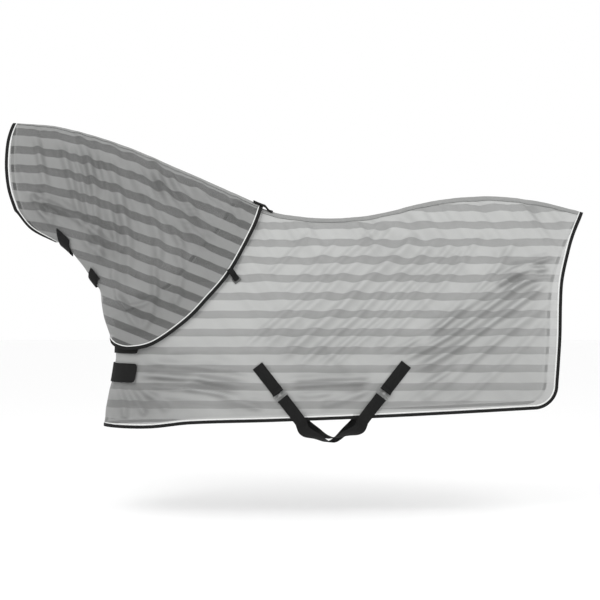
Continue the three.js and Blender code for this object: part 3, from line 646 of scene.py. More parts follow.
def place_group(tree, group, **values):
    node = tree.nodes.new("ShaderNodeGroup")
    node.node_tree = group
    for label, value in values.items():
        node.inputs[label.replace("_", " ")].default_value = value
    return node


def new_material(name, roughness, sheen=0.0, metallic=0.0):
    material = bpy.data.materials.new(name)
    material.use_nodes = True
    shader = material.node_tree.nodes["Principled BSDF"]
    shader.inputs["Roughness"].default_value = roughness
    shader.inputs["Metallic"].default_value = metallic
    shader.inputs["Sheen Weight"].default_value = sheen
    shader.inputs["Specular IOR Level"].default_value = 0.5 if metallic else 0.15
    return material, material.node_tree, shader


def grey(value, tint=(0.99, 1.0, 0.985)):
    return (*(value * c for c in tint), 1.0)


def noise_node(tree, vector, scale, detail=3.0):
    node = tree.nodes.new("ShaderNodeTexNoise")
    node.inputs["Scale"].default_value = scale
    node.inputs["Detail"].default_value = detail
    tree.links.new(vector, node.inputs["Vector"])
    return node.outputs["Fac"]


def cloth_uv(tree):
    uv = tree.nodes.new("ShaderNodeUVMap")
    uv.uv_map = "cloth"
    return uv.outputs[0]


def object_coords(tree):
    return tree.nodes.new("ShaderNodeTexCoord").outputs["Object"]


def add_bump(tree, shader, height, strength, distance):
    bump = tree.nodes.new("ShaderNodeBump")
    bump.inputs["Strength"].default_value = strength
    bump.inputs["Distance"].default_value = distance
    tree.links.new(height, bump.inputs["Height"])
    tree.links.new(bump.outputs["Normal"], shader.inputs["Normal"])


def mesh_fabric(name, dense, sheer, dense_alpha, sheer_alpha, stripe_offset, low_front_shade):
    material, tree, shader = new_material(name, 0.78, sheen=0.1)
    uv = cloth_uv(tree)
    split = tree.nodes.new("ShaderNodeSeparateXYZ")
    tree.links.new(uv, split.inputs[0])
    stripes = place_group(tree, STRIPES, Offset=stripe_offset)
    tree.links.new(split.outputs[1], stripes.inputs["Height"])
    weave = place_group(tree, WEAVE)
    tree.links.new(uv, weave.inputs["Vector"])
    crease_shade = tree.nodes.new("ShaderNodeAttribute")
    crease_shade.attribute_name = "crease_shade"
    mottle = noise_node(tree, uv, 6.0)
    place = tree.nodes.new("ShaderNodeSeparateXYZ")
    tree.links.new(object_coords(tree), place.inputs[0])
    # Painted shade: the cloth is darkened towards the hem, and most at the lower front of the chest.
    fore = math_node(tree, "MULTIPLY", math_node(tree, "ADD", place.outputs[0], 0.05), -2.4, clamp=True)
    low = math_node(tree, "MULTIPLY", math_node(tree, "ADD", place.outputs[2], 0.48), -3.0, clamp=True)
    painted_low_front_shade = math_node(tree, "MULTIPLY", math_node(tree, "MAXIMUM", math_node(
        tree, "MULTIPLY", fore, low), math_node(tree, "MULTIPLY", low, 0.35)), low_front_shade)
    colour = mix_colour(tree, stripes.outputs["Dense"], grey(sheer), grey(dense))
    # Painted shade in the folds from the crease shade value, plus a random mottle and the painted lower-front
    # shade.
    shade = math_node(tree, "MULTIPLY", crease_shade.outputs["Fac"], 0.55)
    shade = math_node(tree, "ADD", shade, math_node(tree, "MULTIPLY", mottle, 0.16), clamp=True)
    shade = math_node(tree, "ADD", shade, painted_low_front_shade, clamp=True)
    colour = mix_colour(tree, shade, colour, grey(dense * 0.35))
    tree.links.new(colour, shader.inputs["Base Color"])
    open_part = math_node(tree, "MULTIPLY", stripes.outputs["Dense"], dense_alpha - sheer_alpha)
    alpha = math_node(tree, "ADD", open_part, sheer_alpha)
    holes = math_node(tree, "MULTIPLY", math_node(tree, "SUBTRACT", weave.outputs["Thread"], 0.72), 0.18)
    alpha = math_node(tree, "ADD", alpha, holes)
    alpha = math_node(tree, "ADD", alpha, math_node(tree, "MULTIPLY", crease_shade.outputs["Fac"], 0.2), clamp=True)
    tree.links.new(alpha, shader.inputs["Alpha"])
    add_bump(tree, shader, weave.outputs["Thread"], 0.35, 0.0006)
    return material


BODY_MESH = mesh_fabric("body_mesh_fabric", 0.45, 0.32, 0.92, 0.76, 0.376, 0.55)
# The neck fabric is the body fabric set darker, as painted shade on the neck cover.
NECK_MESH = mesh_fabric("neck_mesh_fabric", 0.26, 0.115, 0.86, 0.74, 0.112, 0.12)
for (hand, part), panel in PANELS.items():
    panel["object"].data.materials.append(BODY_MESH if part == "body" else NECK_MESH)

SCENE.cycles.transparent_max_bounces = 24
print("cloth materials", BODY_MESH.name, NECK_MESH.name)

# %% [markdown]
# Tapes, webbing and thread share one kind of finish: a woven surface whose ribs follow the strip, a
# little worn and dusty where noise says so. The weave group is placed again at a coarser count.

# %% Woven finishes
def woven(name, dark, light, ribs, roughness, relief, sheen=0.0):
    material, tree, shader = new_material(name, roughness, sheen=sheen)
    weave = place_group(tree, WEAVE, Threads_Per_Metre=ribs)
    tree.links.new(cloth_uv(tree), weave.inputs["Vector"])
    wear = noise_node(tree, object_coords(tree), 38.0)
    worn = math_node(tree, "MULTIPLY", math_node(tree, "SUBTRACT", wear, 0.45), 1.6, clamp=True)
    shade = math_node(tree, "MULTIPLY", weave.outputs["Thread"], 0.55)
    shade = math_node(tree, "ADD", shade, math_node(tree, "MULTIPLY", worn, 0.45), clamp=True)
    tree.links.new(mix_colour(tree, shade, grey(dark), grey(light)), shader.inputs["Base Color"])
    add_bump(tree, shader, weave.outputs["Thread"], 0.6, relief)
    return material


BINDING_CLOTH = woven("binding_cloth", 0.006, 0.018, 900.0, 0.85, 0.0004)
WEBBING = woven("ribbed_webbing", 0.005, 0.014, 420.0, 0.8, 0.0008)
CLOSURE = woven("closure_tape_pile", 0.006, 0.016, 1100.0, 0.9, 0.0005)
PIPING_CORD = woven("piping_cord", 0.62, 0.86, 600.0, 0.6, 0.0004)
SEAM_TAPE = woven("seam_tape_weave", 0.20, 0.34, 700.0, 0.85, 0.0004)
LOOP_PILE = woven("loop_pile", 0.07, 0.16, 1200.0, 0.95, 0.0006)
BLACK_THREAD = woven("black_thread", 0.012, 0.05, 2500.0, 0.6, 0.0001)
GREY_THREAD = woven("grey_thread", 0.16, 0.34, 2500.0, 0.6, 0.0001)

# %% [markdown]
# The fittings are nickel plated steel that has dulled out of doors. Noise changes the roughness from
# spot to spot, so the wire catches the light unevenly.


# %% Metal finish
def dull_nickel():
    material, tree, shader = new_material("dull_nickel", 0.35, metallic=1.0)
    spots = noise_node(tree, object_coords(tree), 160.0, detail=4.0)
    rough = math_node(tree, "ADD", math_node(tree, "MULTIPLY", spots, 0.3), 0.2)
    tree.links.new(rough, shader.inputs["Roughness"])
    tree.links.new(mix_colour(tree, spots, grey(0.16), grey(0.34)), shader.inputs["Base Color"])
    add_bump(tree, shader, spots, 0.15, 0.0003)
    return material


NICKEL = dull_nickel()

# %% [markdown]
# Bindings, cords, tapes and straps are all one section carried along a line. The line comes with two
# directions at each point, across the strip and up from the cloth, so a strip can turn with the cloth.


# %% Strips
def unit(vectors):
    return vectors / np.maximum(np.linalg.norm(vectors, axis=-1, keepdims=True), 1e-9)


def lengths_along(points):
    """How far along the line each point is, from 0 at the first."""
    return np.concatenate([[0], np.cumsum(np.linalg.norm(np.diff(points, axis=0), axis=1))])


def everywhere(vector, count):
    """The same direction at each of a number of points."""
    return np.repeat(vector[None], count, axis=0)


def flat_section(width, thick):
    """A strip's section with rounded edges, as (across, up) offsets."""
    turn = np.linspace(-math.pi / 2, math.pi / 2, 4)
    reach = width / 2 - thick / 2
    edge = np.stack([reach + thick / 2 * np.cos(turn), thick / 2 * np.sin(turn)], axis=-1)
    return np.concatenate([edge, -edge])


def round_section(radius, count=8):
    turn = np.arange(count) * 2 * math.pi / count
    return radius * np.stack([np.cos(turn), np.sin(turn)], axis=-1)


def solid_mesh(name, corners, faces, uv):
    """A mesh object with its faces turned outwards."""
    data = bpy.data.meshes.new(name)
    data.from_pydata(corners.tolist(), [], faces)
    data.uv_layers.new(name="cloth").data.foreach_set("uv", np.asarray(uv, float).ravel())
    work = bmesh.new()
    work.from_mesh(data)
    bmesh.ops.recalc_face_normals(work, faces=work.faces)
    work.to_mesh(data)
    work.free()
    data.shade_smooth()
    piece = bpy.data.objects.new(name, data)
    SCENE.collection.objects.link(piece)
    return piece


def sweep(name, centres, across, up, section):
    n, m = len(centres), len(section)
    rings = centres[:, None] + section[None, :, :1] * across[:, None] + section[None, :, 1:] * up[:, None]
    length = lengths_along(centres)
    round_it = np.concatenate([[0], np.cumsum(np.linalg.norm(np.roll(section, -1, 0) - section, axis=1))])
    i, j = (grid.ravel() for grid in np.meshgrid(np.arange(n - 1), np.arange(m), indexing="ij"))
    k = (j + 1) % m
    sides = np.stack([i * m + j, (i + 1) * m + j, (i + 1) * m + k, i * m + k], axis=1)
    uv = np.stack([length[[i, i + 1, i + 1, i]].T, round_it[[j, j, j + 1, j + 1]].T], axis=-1).reshape(-1, 2)
    caps = [list(range(m)), list(range((n - 1) * m, n * m))]
    uv = np.concatenate([uv, np.zeros((2 * m, 2))])
    return solid_mesh(name, rings.reshape(-1, 3), sides.tolist() + caps, uv)


def finish_piece(piece, body, slot_name, material, *nodes):
    piece.data.materials.append(material)
    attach(piece, body)
    if nodes:
        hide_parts(*nodes)
    return piece


# %% [markdown]
# Stitching is modelled too, one small lozenge of thread for each stitch. They are cheap, and a row of
# them along a binding or round a patch is what makes it look sewn rather than glued.


# %% Stitches
STITCH, STITCH_GAP, THREAD = 0.0036, 0.0020, 0.00045


def walk(points, distances):
    lengths = lengths_along(points)
    return np.stack([np.interp(distances, lengths, points[:, axis]) for axis in range(3)], axis=-1)


def stitch_row(points, up):
    """Corners of the stitches along a line of points, whose up directions go with them."""
    lengths = lengths_along(points)
    starts = np.arange(0.001, lengths[-1] - STITCH, STITCH + STITCH_GAP)
    head, tail = walk(points, starts), walk(points, starts + STITCH)
    rise = unit(np.stack([np.interp(starts, lengths, up[:, axis]) for axis in range(3)], axis=-1))
    side = unit(np.cross(tail - head, rise))
    middle = (head + tail) / 2
    return np.stack([head, tail, middle + side * THREAD, middle + rise * THREAD,
                     middle - side * THREAD, middle - rise * THREAD], axis=1)


def stitches(name, rows):
    corners = np.concatenate(rows)
    faces = []
    for k in range(len(corners)):
        a = 6 * k
        for m in range(4):
            b, c = a + 2 + m, a + 2 + (m + 1) % 4
            faces += [[a, b, c], [a + 1, c, b]]
    return solid_mesh(name, corners.reshape(-1, 3), faces, np.zeros((3 * len(faces), 2)))


# %% [markdown]
# Every cloth edge has a white piping sewn against the mesh and a black binding folded over the raw
# edge outside it. Both follow the folded edge of the panel itself, so they never leave it.

# %% Bound edges
PIPING_OFFSET, PIPING_RADIUS = 0.00275, 0.0022
BINDING_OFFSET, BINDING_WIDTH, BINDING_THICK = 0.0125, 0.0140, 0.0030
BINDING_SEAM = 0.0078  # the row of stitches, out from the mesh


RIDGE_START = int(np.argmax(PANELS["left", "body"]["points"][:, 0, 0] > NECKLINE_END)) - 1


def body_edge(grid):
    """The rim of a body panel, from the ridge round the neckline, the front, the hem and the rear edge."""
    return np.concatenate([grid[1:RIDGE_START, 0][::-1], grid[0], grid[1:-1, -1], grid[-1][::-1]])


def poll_edge_of(grid):
    below = int(round(OPEN_SHARE * (len(NECK_U) - 1)))
    return np.concatenate([grid[0], grid[1:below - 1, -1]])


def shoulder_edge_of(grid):
    return grid[-1][:-3]


def bind(hand, part, key, edge_of, turn):
    panel = PANELS[hand, part]
    points, up = edge_of(panel["points"]), edge_of(panel["normals"])
    outward = unit(np.cross(unit(np.gradient(points, axis=0)), up)) * -panel["side"] * turn
    body = "body_sheet" if part == "body" else "neck_cover"
    lift = up * 0.0008
    piping = sweep(f"{hand}_{key}_piping_cord", points + outward * PIPING_OFFSET + lift, outward, up,
                   round_section(PIPING_RADIUS))
    finish_piece(piping, body, "white_piping", PIPING_CORD, f"{hand}_{key}_piping")
    tape = sweep(f"{hand}_{key}_binding_tape", points + outward * BINDING_OFFSET + lift, outward, up,
                 flat_section(BINDING_WIDTH, BINDING_THICK))
    finish_piece(tape, body, "edge_binding", BINDING_CLOTH, f"{hand}_{key}_binding")
    seam = points + outward * BINDING_SEAM
    rows = [stitch_row(seam + up * (0.0008 + k * BINDING_THICK / 2), up * k) for k in (1, -1)]
    thread = stitches(f"{hand}_{key}_binding_stitches", rows)
    finish_piece(thread, body, "edge_binding", BLACK_THREAD)
    panel["trim"] += [piping, tape, thread]
    print(tape.name, round(float(lengths_along(points)[-1]), 2), "m")


for hand in ("left", "right"):
    bind(hand, "body", "body", body_edge, 1)
    bind(hand, "neck", "poll", poll_edge_of, 1)
    bind(hand, "neck", "shoulder", shoulder_edge_of, -1)

# %% [markdown]
# Tapes cover the seams along the spine and the crest. Each takes the top rows of both halves and lies
# just over them, with a row of stitches near each of its edges.


# %% Seam tapes
def nothing_selected():
    bpy.ops.object.select_all(action="DESELECT")


def solidify(piece, thick, offset=1.0):
    """Gives a grid its thickness, by a modifier that is applied."""
    nothing_selected()
    piece.select_set(True)
    bpy.context.view_layer.objects.active = piece
    wall = piece.modifiers.new("thickness", "SOLIDIFY")
    wall.thickness, wall.offset = thick, offset
    bpy.ops.object.modifier_apply(modifier=wall.name)
    return piece


def metric_uv(points):
    u = np.cumsum(np.linalg.norm(np.diff(points, axis=0, prepend=points[:1]), axis=-1), axis=0)
    v = np.cumsum(np.linalg.norm(np.diff(points, axis=1, prepend=points[:, :1]), axis=-1), axis=1)
    return np.stack([u, v], axis=-1)


def cloth_strip(name, points, normals, lift, thick):
    """A thin solid piece over a grid of points, that far above them."""
    over = points + normals * lift
    middle = tuple(size // 2 for size in over.shape[:2])
    du, dv = np.gradient(over, axis=0)[middle], np.gradient(over, axis=1)[middle]
    away = float(np.dot(np.cross(du, dv), normals[middle]))
    piece = grid_object(name, over, metric_uv(over), flip=away < 0)
    return solidify(piece, thick)


TAPE_LIFT, TAPE_THICK = 0.0016, 0.0012


def seam_tape(name, part, reach, body, start=0):
    v_line = BODY_V if part == "body" else NECK_V
    rows = int((v_line <= reach).sum())
    halves = [PANELS[hand, part] for hand in ("left", "right")]
    near, far = [panel["points"][start:, :rows] for panel in halves]
    near_up, far_up = [panel["normals"][start:, :rows] for panel in halves]
    points = np.concatenate([near[:, ::-1], far], axis=1)
    up = np.concatenate([near_up[:, ::-1], far_up], axis=1)
    tape = cloth_strip(name, points, up, TAPE_LIFT, TAPE_THICK)
    finish_piece(tape, body, "seam_tape", SEAM_TAPE, name.replace("_woven", ""))
    above = TAPE_LIFT + TAPE_THICK
    lines = [stitch_row(points[:, k] + up[:, k] * above, up[:, k]) for k in (1, -2)]
    thread = finish_piece(stitches(f"{name}_stitches", lines), body, "seam_tape", GREY_THREAD)
    PANELS["left", part]["trim"] += [tape, thread]
    print(name, "rows each side", rows)


spine_start = int(np.argmax(PANELS["left", "body"]["points"][:, 0, 0] > NECKLINE_END))
seam_tape("spine_tape_woven", "body", 0.0245, "body_sheet", spine_start)
seam_tape("crest_tape_woven", "neck", 0.028, "neck_cover")

# %% [markdown]
# The fronts are lined where they rub on the chest, and a square of lining strengthens each side near
# the tail. The linings are a plain close net, seen only as darker places through the mesh.


# %% Linings
def lining_cloth():
    material, tree, shader = new_material("lining_net", 0.9)
    weave = place_group(tree, WEAVE, Threads_Per_Metre=650.0)
    tree.links.new(cloth_uv(tree), weave.inputs["Vector"])
    tone = mix_colour(tree, weave.outputs["Thread"], grey(0.10), grey(0.22))
    tree.links.new(tone, shader.inputs["Base Color"])
    holes = math_node(tree, "MULTIPLY", weave.outputs["Thread"], 0.3)
    tree.links.new(math_node(tree, "ADD", holes, 0.35, clamp=True), shader.inputs["Alpha"])
    return material


LINING = lining_cloth()
LINING_DEPTH = 0.0028
CHEST_LINING_START = 0.4


def chest_lining(hand):
    panel = PANELS[hand, "body"]
    first, last = (int(np.argmin(abs(BODY_Q - q))) for q in (CHEST_LINING_START, 1.0))
    rows = slice(int(np.argmin(abs(BODY_V - 0.032))), int(np.argmin(abs(BODY_V - 0.854))))
    points, up = panel["points"][first:last, rows], panel["normals"][first:last, rows]
    piece = cloth_strip(f"{hand}_chest_lining", points, up, -LINING_DEPTH, 0.0006)
    finish_piece(piece, "body_sheet", "facing_cloth", LINING, f"{hand}_chest_facing")
    panel["trim"].append(piece)


for hand in ("left", "right"):
    chest_lining(hand)

# %% [markdown]
# Flat pieces on the side of the sheet are laid out as a grid turned to their slope, with rounded
# corners, and set on the form that the CAD uses. Where the cloth is free to fold they are laid on the
# folded cloth instead, by casting a ray at it.


# %% Pieces on the side
def on_side(side, x, z):
    """A point and its outward normal on the smooth side of the body sheet."""
    step = 0.001
    y = half_width(x, z)
    dx = (half_width(x + step, z) - half_width(x - step, z)) / (2 * step)
    dz = (half_width(x, z + step) - half_width(x, z - step)) / (2 * step)
    point = np.stack([x, side * y, z], axis=-1)
    normal = unit(np.stack([-dx, side * np.ones_like(y), -dz], axis=-1))
    return point, normal


def rounded_grid(length, width, corner, count=(25, 9), ends=(True, True)):
    """(a, b) offsets over a rectangle whose chosen short ends have rounded corners."""
    a = np.linspace(-length / 2, length / 2, count[0])
    b = np.linspace(-0.5, 0.5, count[1])
    rise = np.zeros(len(a))
    if ends[0]:
        rise = rise + corner_rise(a + length / 2, corner)
    if ends[1]:
        rise = rise + corner_rise(length / 2 - a, corner)
    aa = np.repeat(a[:, None], count[1], axis=1)
    return aa, b[None, :] * (width - 2 * rise[:, None])


def side_grid(side, centre, slope, lean, a, b):
    x = centre[0] + lean * (a * math.cos(slope) + b * math.sin(slope))
    z = centre[1] - a * math.sin(slope) + b * math.cos(slope)
    return on_side(side, x, z)


TAIL_PATCH, TAIL_PATCH_PLACE = 0.060, (float(along(0.83)), -0.28 * DROP)


def cloth_tree(hand, part):
    data = PANELS[hand, part]["object"].data
    corners = [corner.co.copy() for corner in data.vertices]
    return BVHTree.FromPolygons(corners, [list(face.vertices) for face in data.polygons])


def laid_on_cloth(hand, part, points):
    """Moves points in or out until they lie on the folded cloth."""
    tree, side = cloth_tree(hand, part), PANELS[hand, part]["side"]
    laid = points.copy()
    for place in np.ndindex(points.shape[:2]):
        x, _, z = points[place]
        hit = tree.ray_cast(Vector((x, side, z)), Vector((0, -side, 0)))[0]
        if hit is not None:
            laid[place] = hit
    return laid


def tail_patch(hand):
    side = PANELS[hand, "body"]["side"]
    a, b = rounded_grid(TAIL_PATCH, TAIL_PATCH, 0.004, (13, 13))
    points, up = side_grid(side, TAIL_PATCH_PLACE, 0.0, 1, a, b)
    points = laid_on_cloth(hand, "body", points)
    piece = cloth_strip(f"{hand}_tail_lining", points, up, -LINING_DEPTH, 0.0006)
    finish_piece(piece, "body_sheet", "facing_cloth", LINING, f"{hand}_tail_patch")
    PANELS[hand, "body"]["trim"].append(piece)


for hand in ("left", "right"):
    tail_patch(hand)

# %% [markdown]
# Loop patches are the soft half of each hook-and-loop closure, and the black tabs are the hook half.
# Each follows the surface that its CAD solid follows, a little above it, and has rounded corners at its
# free end.

# %% Closures on the side
CLOTH, TAB_THICK, LOOP_THICK = 0.0016, 0.0020, 0.0012
ON_CLOTH = CLOTH + 0.0005
SIDE_TAB = (float(along(-0.112)), -0.319 * DROP)
SIDE_TAB_SLOPE, SIDE_TAB_LENGTH, SIDE_TAB_WIDTH, SIDE_TAB_RISE = math.radians(50), 0.057, 0.024, 0.011
SIDE_LANDING = (SIDE_TAB[0] + 0.014, SIDE_TAB[1] - 0.018)
TAB_CORNER = 0.006


def edge_stitches(name, points, normals, above, inset=2):
    """One row of stitches round a grid of points, a few cells in from its edges."""
    k = inset
    path = np.concatenate([points[k:-k, k], points[-k - 1, k:-k], points[k:-k, -k - 1][::-1],
                           points[k, k:-k][::-1], points[k:k + 1, k]])
    up = np.concatenate([normals[k:-k, k], normals[-k - 1, k:-k], normals[k:-k, -k - 1][::-1],
                         normals[k, k:-k][::-1], normals[k:k + 1, k]])
    return stitches(name, [stitch_row(path + up * above, up)])


def closure(name, points, normals, lift, thick, body, slot_name, material, thread, node):
    piece = finish_piece(cloth_strip(name, points, normals, lift, thick), body, slot_name, material, node)
    top = (np.asarray(lift) + thick + 0.0001)
    rows = edge_stitches(f"{name}_stitches", points + normals * top, normals, 0.0)
    finish_piece(rows, body, slot_name, thread)
    return [piece, rows]


def side_closure(hand):
    side = PANELS[hand, "body"]["side"]
    a, b = rounded_grid(SIDE_TAB_LENGTH * 0.5, SIDE_TAB_WIDTH + 0.008, 0.003, (17, 15))
    points, up = side_grid(side, SIDE_LANDING, SIDE_TAB_SLOPE, 1, a, b)
    PANELS[hand, "body"]["trim"] += closure(
        f"{hand}_side_loop_pile", points, up, ON_CLOTH, LOOP_THICK, "body_sheet", "facing_cloth",
        LOOP_PILE, GREY_THREAD, f"{hand}_side_loop_patch")
    a, b = rounded_grid(SIDE_TAB_LENGTH, SIDE_TAB_WIDTH, TAB_CORNER, (33, 13), (False, True))
    points, up = side_grid(side, SIDE_TAB, SIDE_TAB_SLOPE, 1, a, b)
    high, low = NECK_EASE + SIDE_TAB_RISE, ON_CLOTH + LOOP_THICK + 0.0014
    lift = mix(high, low, smooth(a, -0.008, SIDE_TAB_LENGTH * 0.36))[..., None]
    closure(f"{hand}_side_tab_tape", points, up, lift, TAB_THICK, f"{hand}_side_tab", "closure_tape",
            CLOSURE, BLACK_THREAD, f"{hand}_side_tab")


for hand in ("left", "right"):
    side_closure(hand)

# %% Chest tabs
CHEST_TAB_HEIGHT, CHEST_TAB_LIFT = 0.080, 0.0055
UPPER_TAB_TOP, LOWER_TAB_TOP = -0.552, -0.658
TAB_START, UPPER_TAB_END, LOWER_TAB_END = -34, 62, 63  # degrees round the chest
LOOP_SPAN = (22, 58)


def chest_grid(start, end, top, height, corner, count=(90, 15)):
    """Points round the breast from the far front to the near front, and their outward normals."""
    angle = np.radians(np.linspace(start, end, count[0]))
    arc = (CHEST_DEPTH + SHOULDER) / 2 * (angle[-1] - angle)
    drop = np.linspace(-0.5, 0.5, count[1])[None, :] * (height - 2 * corner_rise(arc, corner))[:, None]
    z = top - height / 2 - drop
    around = np.repeat(angle[:, None], count[1], axis=1)
    back = breast(z) + CHEST_DEPTH
    x = back - (CHEST_DEPTH + CHEST_LAP) * np.cos(around)
    y = -(half_width(back, z) + CHEST_LAP) * np.sin(around)
    up = np.stack([-np.cos(around), -np.sin(around), 0 * around], axis=-1)
    return np.stack([x, y, z], axis=-1), up


def chest_tab(name, span, top, height, lift, thick, corner, body, slot_name, material, thread, node):
    points, up = chest_grid(*span, top, height, corner)
    return closure(name, points, up, lift, thick, body, slot_name, material, thread, node)


PANELS["left", "body"]["trim"] += chest_tab(
    "upper_chest_closure", (TAB_START, UPPER_TAB_END), UPPER_TAB_TOP, CHEST_TAB_HEIGHT * 0.8, CHEST_TAB_LIFT,
    TAB_THICK, 0.012, "body_sheet", "closure_tape", CLOSURE, BLACK_THREAD, "upper_chest_tab")
chest_tab(
    "lower_chest_closure", (TAB_START, LOWER_TAB_END), LOWER_TAB_TOP, CHEST_TAB_HEIGHT, CHEST_TAB_LIFT,
    TAB_THICK, 0.014, "lower_chest_tab", "closure_tape", CLOSURE, BLACK_THREAD, "lower_chest_tab")
PANELS["left", "body"]["trim"] += chest_tab(
    "lower_chest_loop_pile", LOOP_SPAN, LOWER_TAB_TOP - 0.004, CHEST_TAB_HEIGHT - 0.008, ON_CLOTH,
    LOOP_THICK, 0.004, "body_sheet", "facing_cloth", LOOP_PILE, GREY_THREAD, "lower_chest_loop_patch")

# %% Throat tabs
THROAT_TAB_WIDTH, THROAT_TAB_RISE, THROAT_TAB_REACH, THROAT_TURN = 0.08, 0.125, 0.26, 0.985
THROAT_LOOP_LIFT, THROAT_TAB_LIFT = 0.0034, 0.008
THROAT_TABS = {"upper": 0.30, "lower": 0.53}


def throat_band(at, width, v_near, v_far=()):
    """A band of the neck surface from the near side round the throat to the far side."""
    columns = np.linspace(at - width / 2, at + width / 2, 17)
    points, normals = [], []
    for side, rows in ((-1, v_near), (1, v_far)):
        if len(rows) == 0:
            continue
        u, v = np.meshgrid(columns, rows, indexing="ij")
        step = 1e-3
        du = neck_surface(u + step, v, side) - neck_surface(u - step, v, side)
        dv = neck_surface(u, np.minimum(v + step, 1), side) - neck_surface(u, v - step, side)
        points.append(neck_surface(u, v, side))
        normals.append(unit(np.cross(du, dv) * side))
    return np.concatenate(points, axis=1), np.concatenate(normals, axis=1)


for key, at in THROAT_TABS.items():
    points, up = throat_band(at, THROAT_TAB_WIDTH, np.linspace(1 - THROAT_TAB_REACH, THROAT_TURN, 25),
                             np.linspace(THROAT_TURN, 1 - THROAT_TAB_RISE, 17))
    closure(f"{key}_throat_closure", points, up, THROAT_TAB_LIFT, TAB_THICK, f"{key}_throat_tab",
            "closure_tape", CLOSURE, BLACK_THREAD, f"{key}_throat_tab")
    points, up = throat_band(at, THROAT_TAB_WIDTH * 0.8,
                             np.linspace(1 - THROAT_TAB_REACH, 1 - THROAT_TAB_REACH / 2, 17))
    PANELS["left", "neck"]["trim"] += closure(
        f"{key}_throat_loop_pile", points, up, THROAT_LOOP_LIFT, LOOP_THICK, "neck_cover", "facing_cloth",
        LOOP_PILE, GREY_THREAD, f"{key}_throat_loop_patch")

# %% Withers strap
WITHERS_STRAP_LENGTH, WITHERS_STRAP_LIFT = 0.084, 0.0066
STRAP_DEPTHS = (0.0003, 0.001, 0.002, 0.003, 0.0045, 0.006, 0.008)


def withers_strap():
    x = np.linspace(CREST_END - 0.026, CREST_END - 0.026 + WITHERS_STRAP_LENGTH, 40)
    down = smooth(x, CREST_END + 0.020, CREST_END + 0.044)
    columns = [(-1, depth) for depth in STRAP_DEPTHS[::-1]] + [(1, depth) for depth in STRAP_DEPTHS]
    points, normals = [], []
    for side, depth in columns:
        point, up = on_side(side, x, ridge(x) - depth)
        point = point + np.stack([0 * x, 0 * x, CREST_RISE * (1 - down)], axis=-1)
        points.append(point + up * (WITHERS_STRAP_LIFT + 0.002 * (1 - down))[:, None])
        normals.append(up)
    points, normals = np.stack(points, axis=1), np.stack(normals, axis=1)
    closure("withers_closure", points, normals, 0.0, TAB_THICK, "withers_strap", "closure_tape", CLOSURE,
            BLACK_THREAD, "withers_strap")


withers_strap()

# %% [markdown]
# The belly straps clip to webbing patches sewn high on the sides. A patch is a piece of webbing that
# runs down, folds over the ring and tucks under itself. It is sewn with a box and a cross of thread.

# %% Strap frames
STRAP_WIDTH, STRAP_THICK, PATCH_LENGTH = 0.050, 0.0024, 0.132
PATCH_SLOPE, RING_WIRE, RING_HEIGHT = math.radians(52), 0.0035, 0.016
HARDWARE_WIDTH, HARDWARE_LIFT, LOOP_RADIUS = STRAP_WIDTH + 0.008, 0.010, 0.0052
HOOK_FROM = RING_HEIGHT + 0.0075
HOOK_TO = HOOK_FROM + 0.015
ANCHORS = {
    "front": (float(along(0.019)), -0.798 * DROP, 1), "rear": (float(along(0.416)), -0.79 * DROP, -1),
}


def anchor_frame(key, side):
    """o is the middle of the ring wire, d runs down the strap, w across it and n outwards."""
    x, z, lean = ANCHORS[key]
    reach = PATCH_LENGTH / 2 + LOOP_RADIUS + 0.001
    x, z = x + lean * reach * math.cos(PATCH_SLOPE), z - reach * math.sin(PATCH_SLOPE)
    point, n = (np.asarray(v, float) for v in on_side(side, np.array(x), np.array(z)))
    d = np.array([lean * math.cos(PATCH_SLOPE), 0, -math.sin(PATCH_SLOPE)])
    d = unit(d - n * np.dot(d, n))
    return {"o": point + n * HARDWARE_LIFT, "d": d, "w": np.cross(n, d), "n": n}


def in_frame(at, offsets):
    """World points from (d, n) offsets in a strap frame."""
    offsets = np.asarray(offsets, float)
    return at["o"] + offsets[:, :1] * at["d"] + offsets[:, 1:] * at["n"]


def arc(centre, radius, start, end, count):
    turn = np.radians(np.linspace(start, end, count))
    return [(centre + radius * math.cos(t), radius * math.sin(t)) for t in turn]


def strip_up(points, across):
    """Up directions of a strip, square to its line and its width."""
    return unit(np.cross(unit(np.gradient(points, axis=0)), across))


# %% Anchor patches
FOLD_RADIUS = 0.0050  # middle of the webbing round a wire
CROSS_INSET = 0.006  # box of stitches, in from the webbing edge
BOX_STEP = 0.005  # between the points that a row of the box is laid through
PATCH_MIDDLE = ON_CLOTH + 0.0015  # middle of the webbing, out from the form


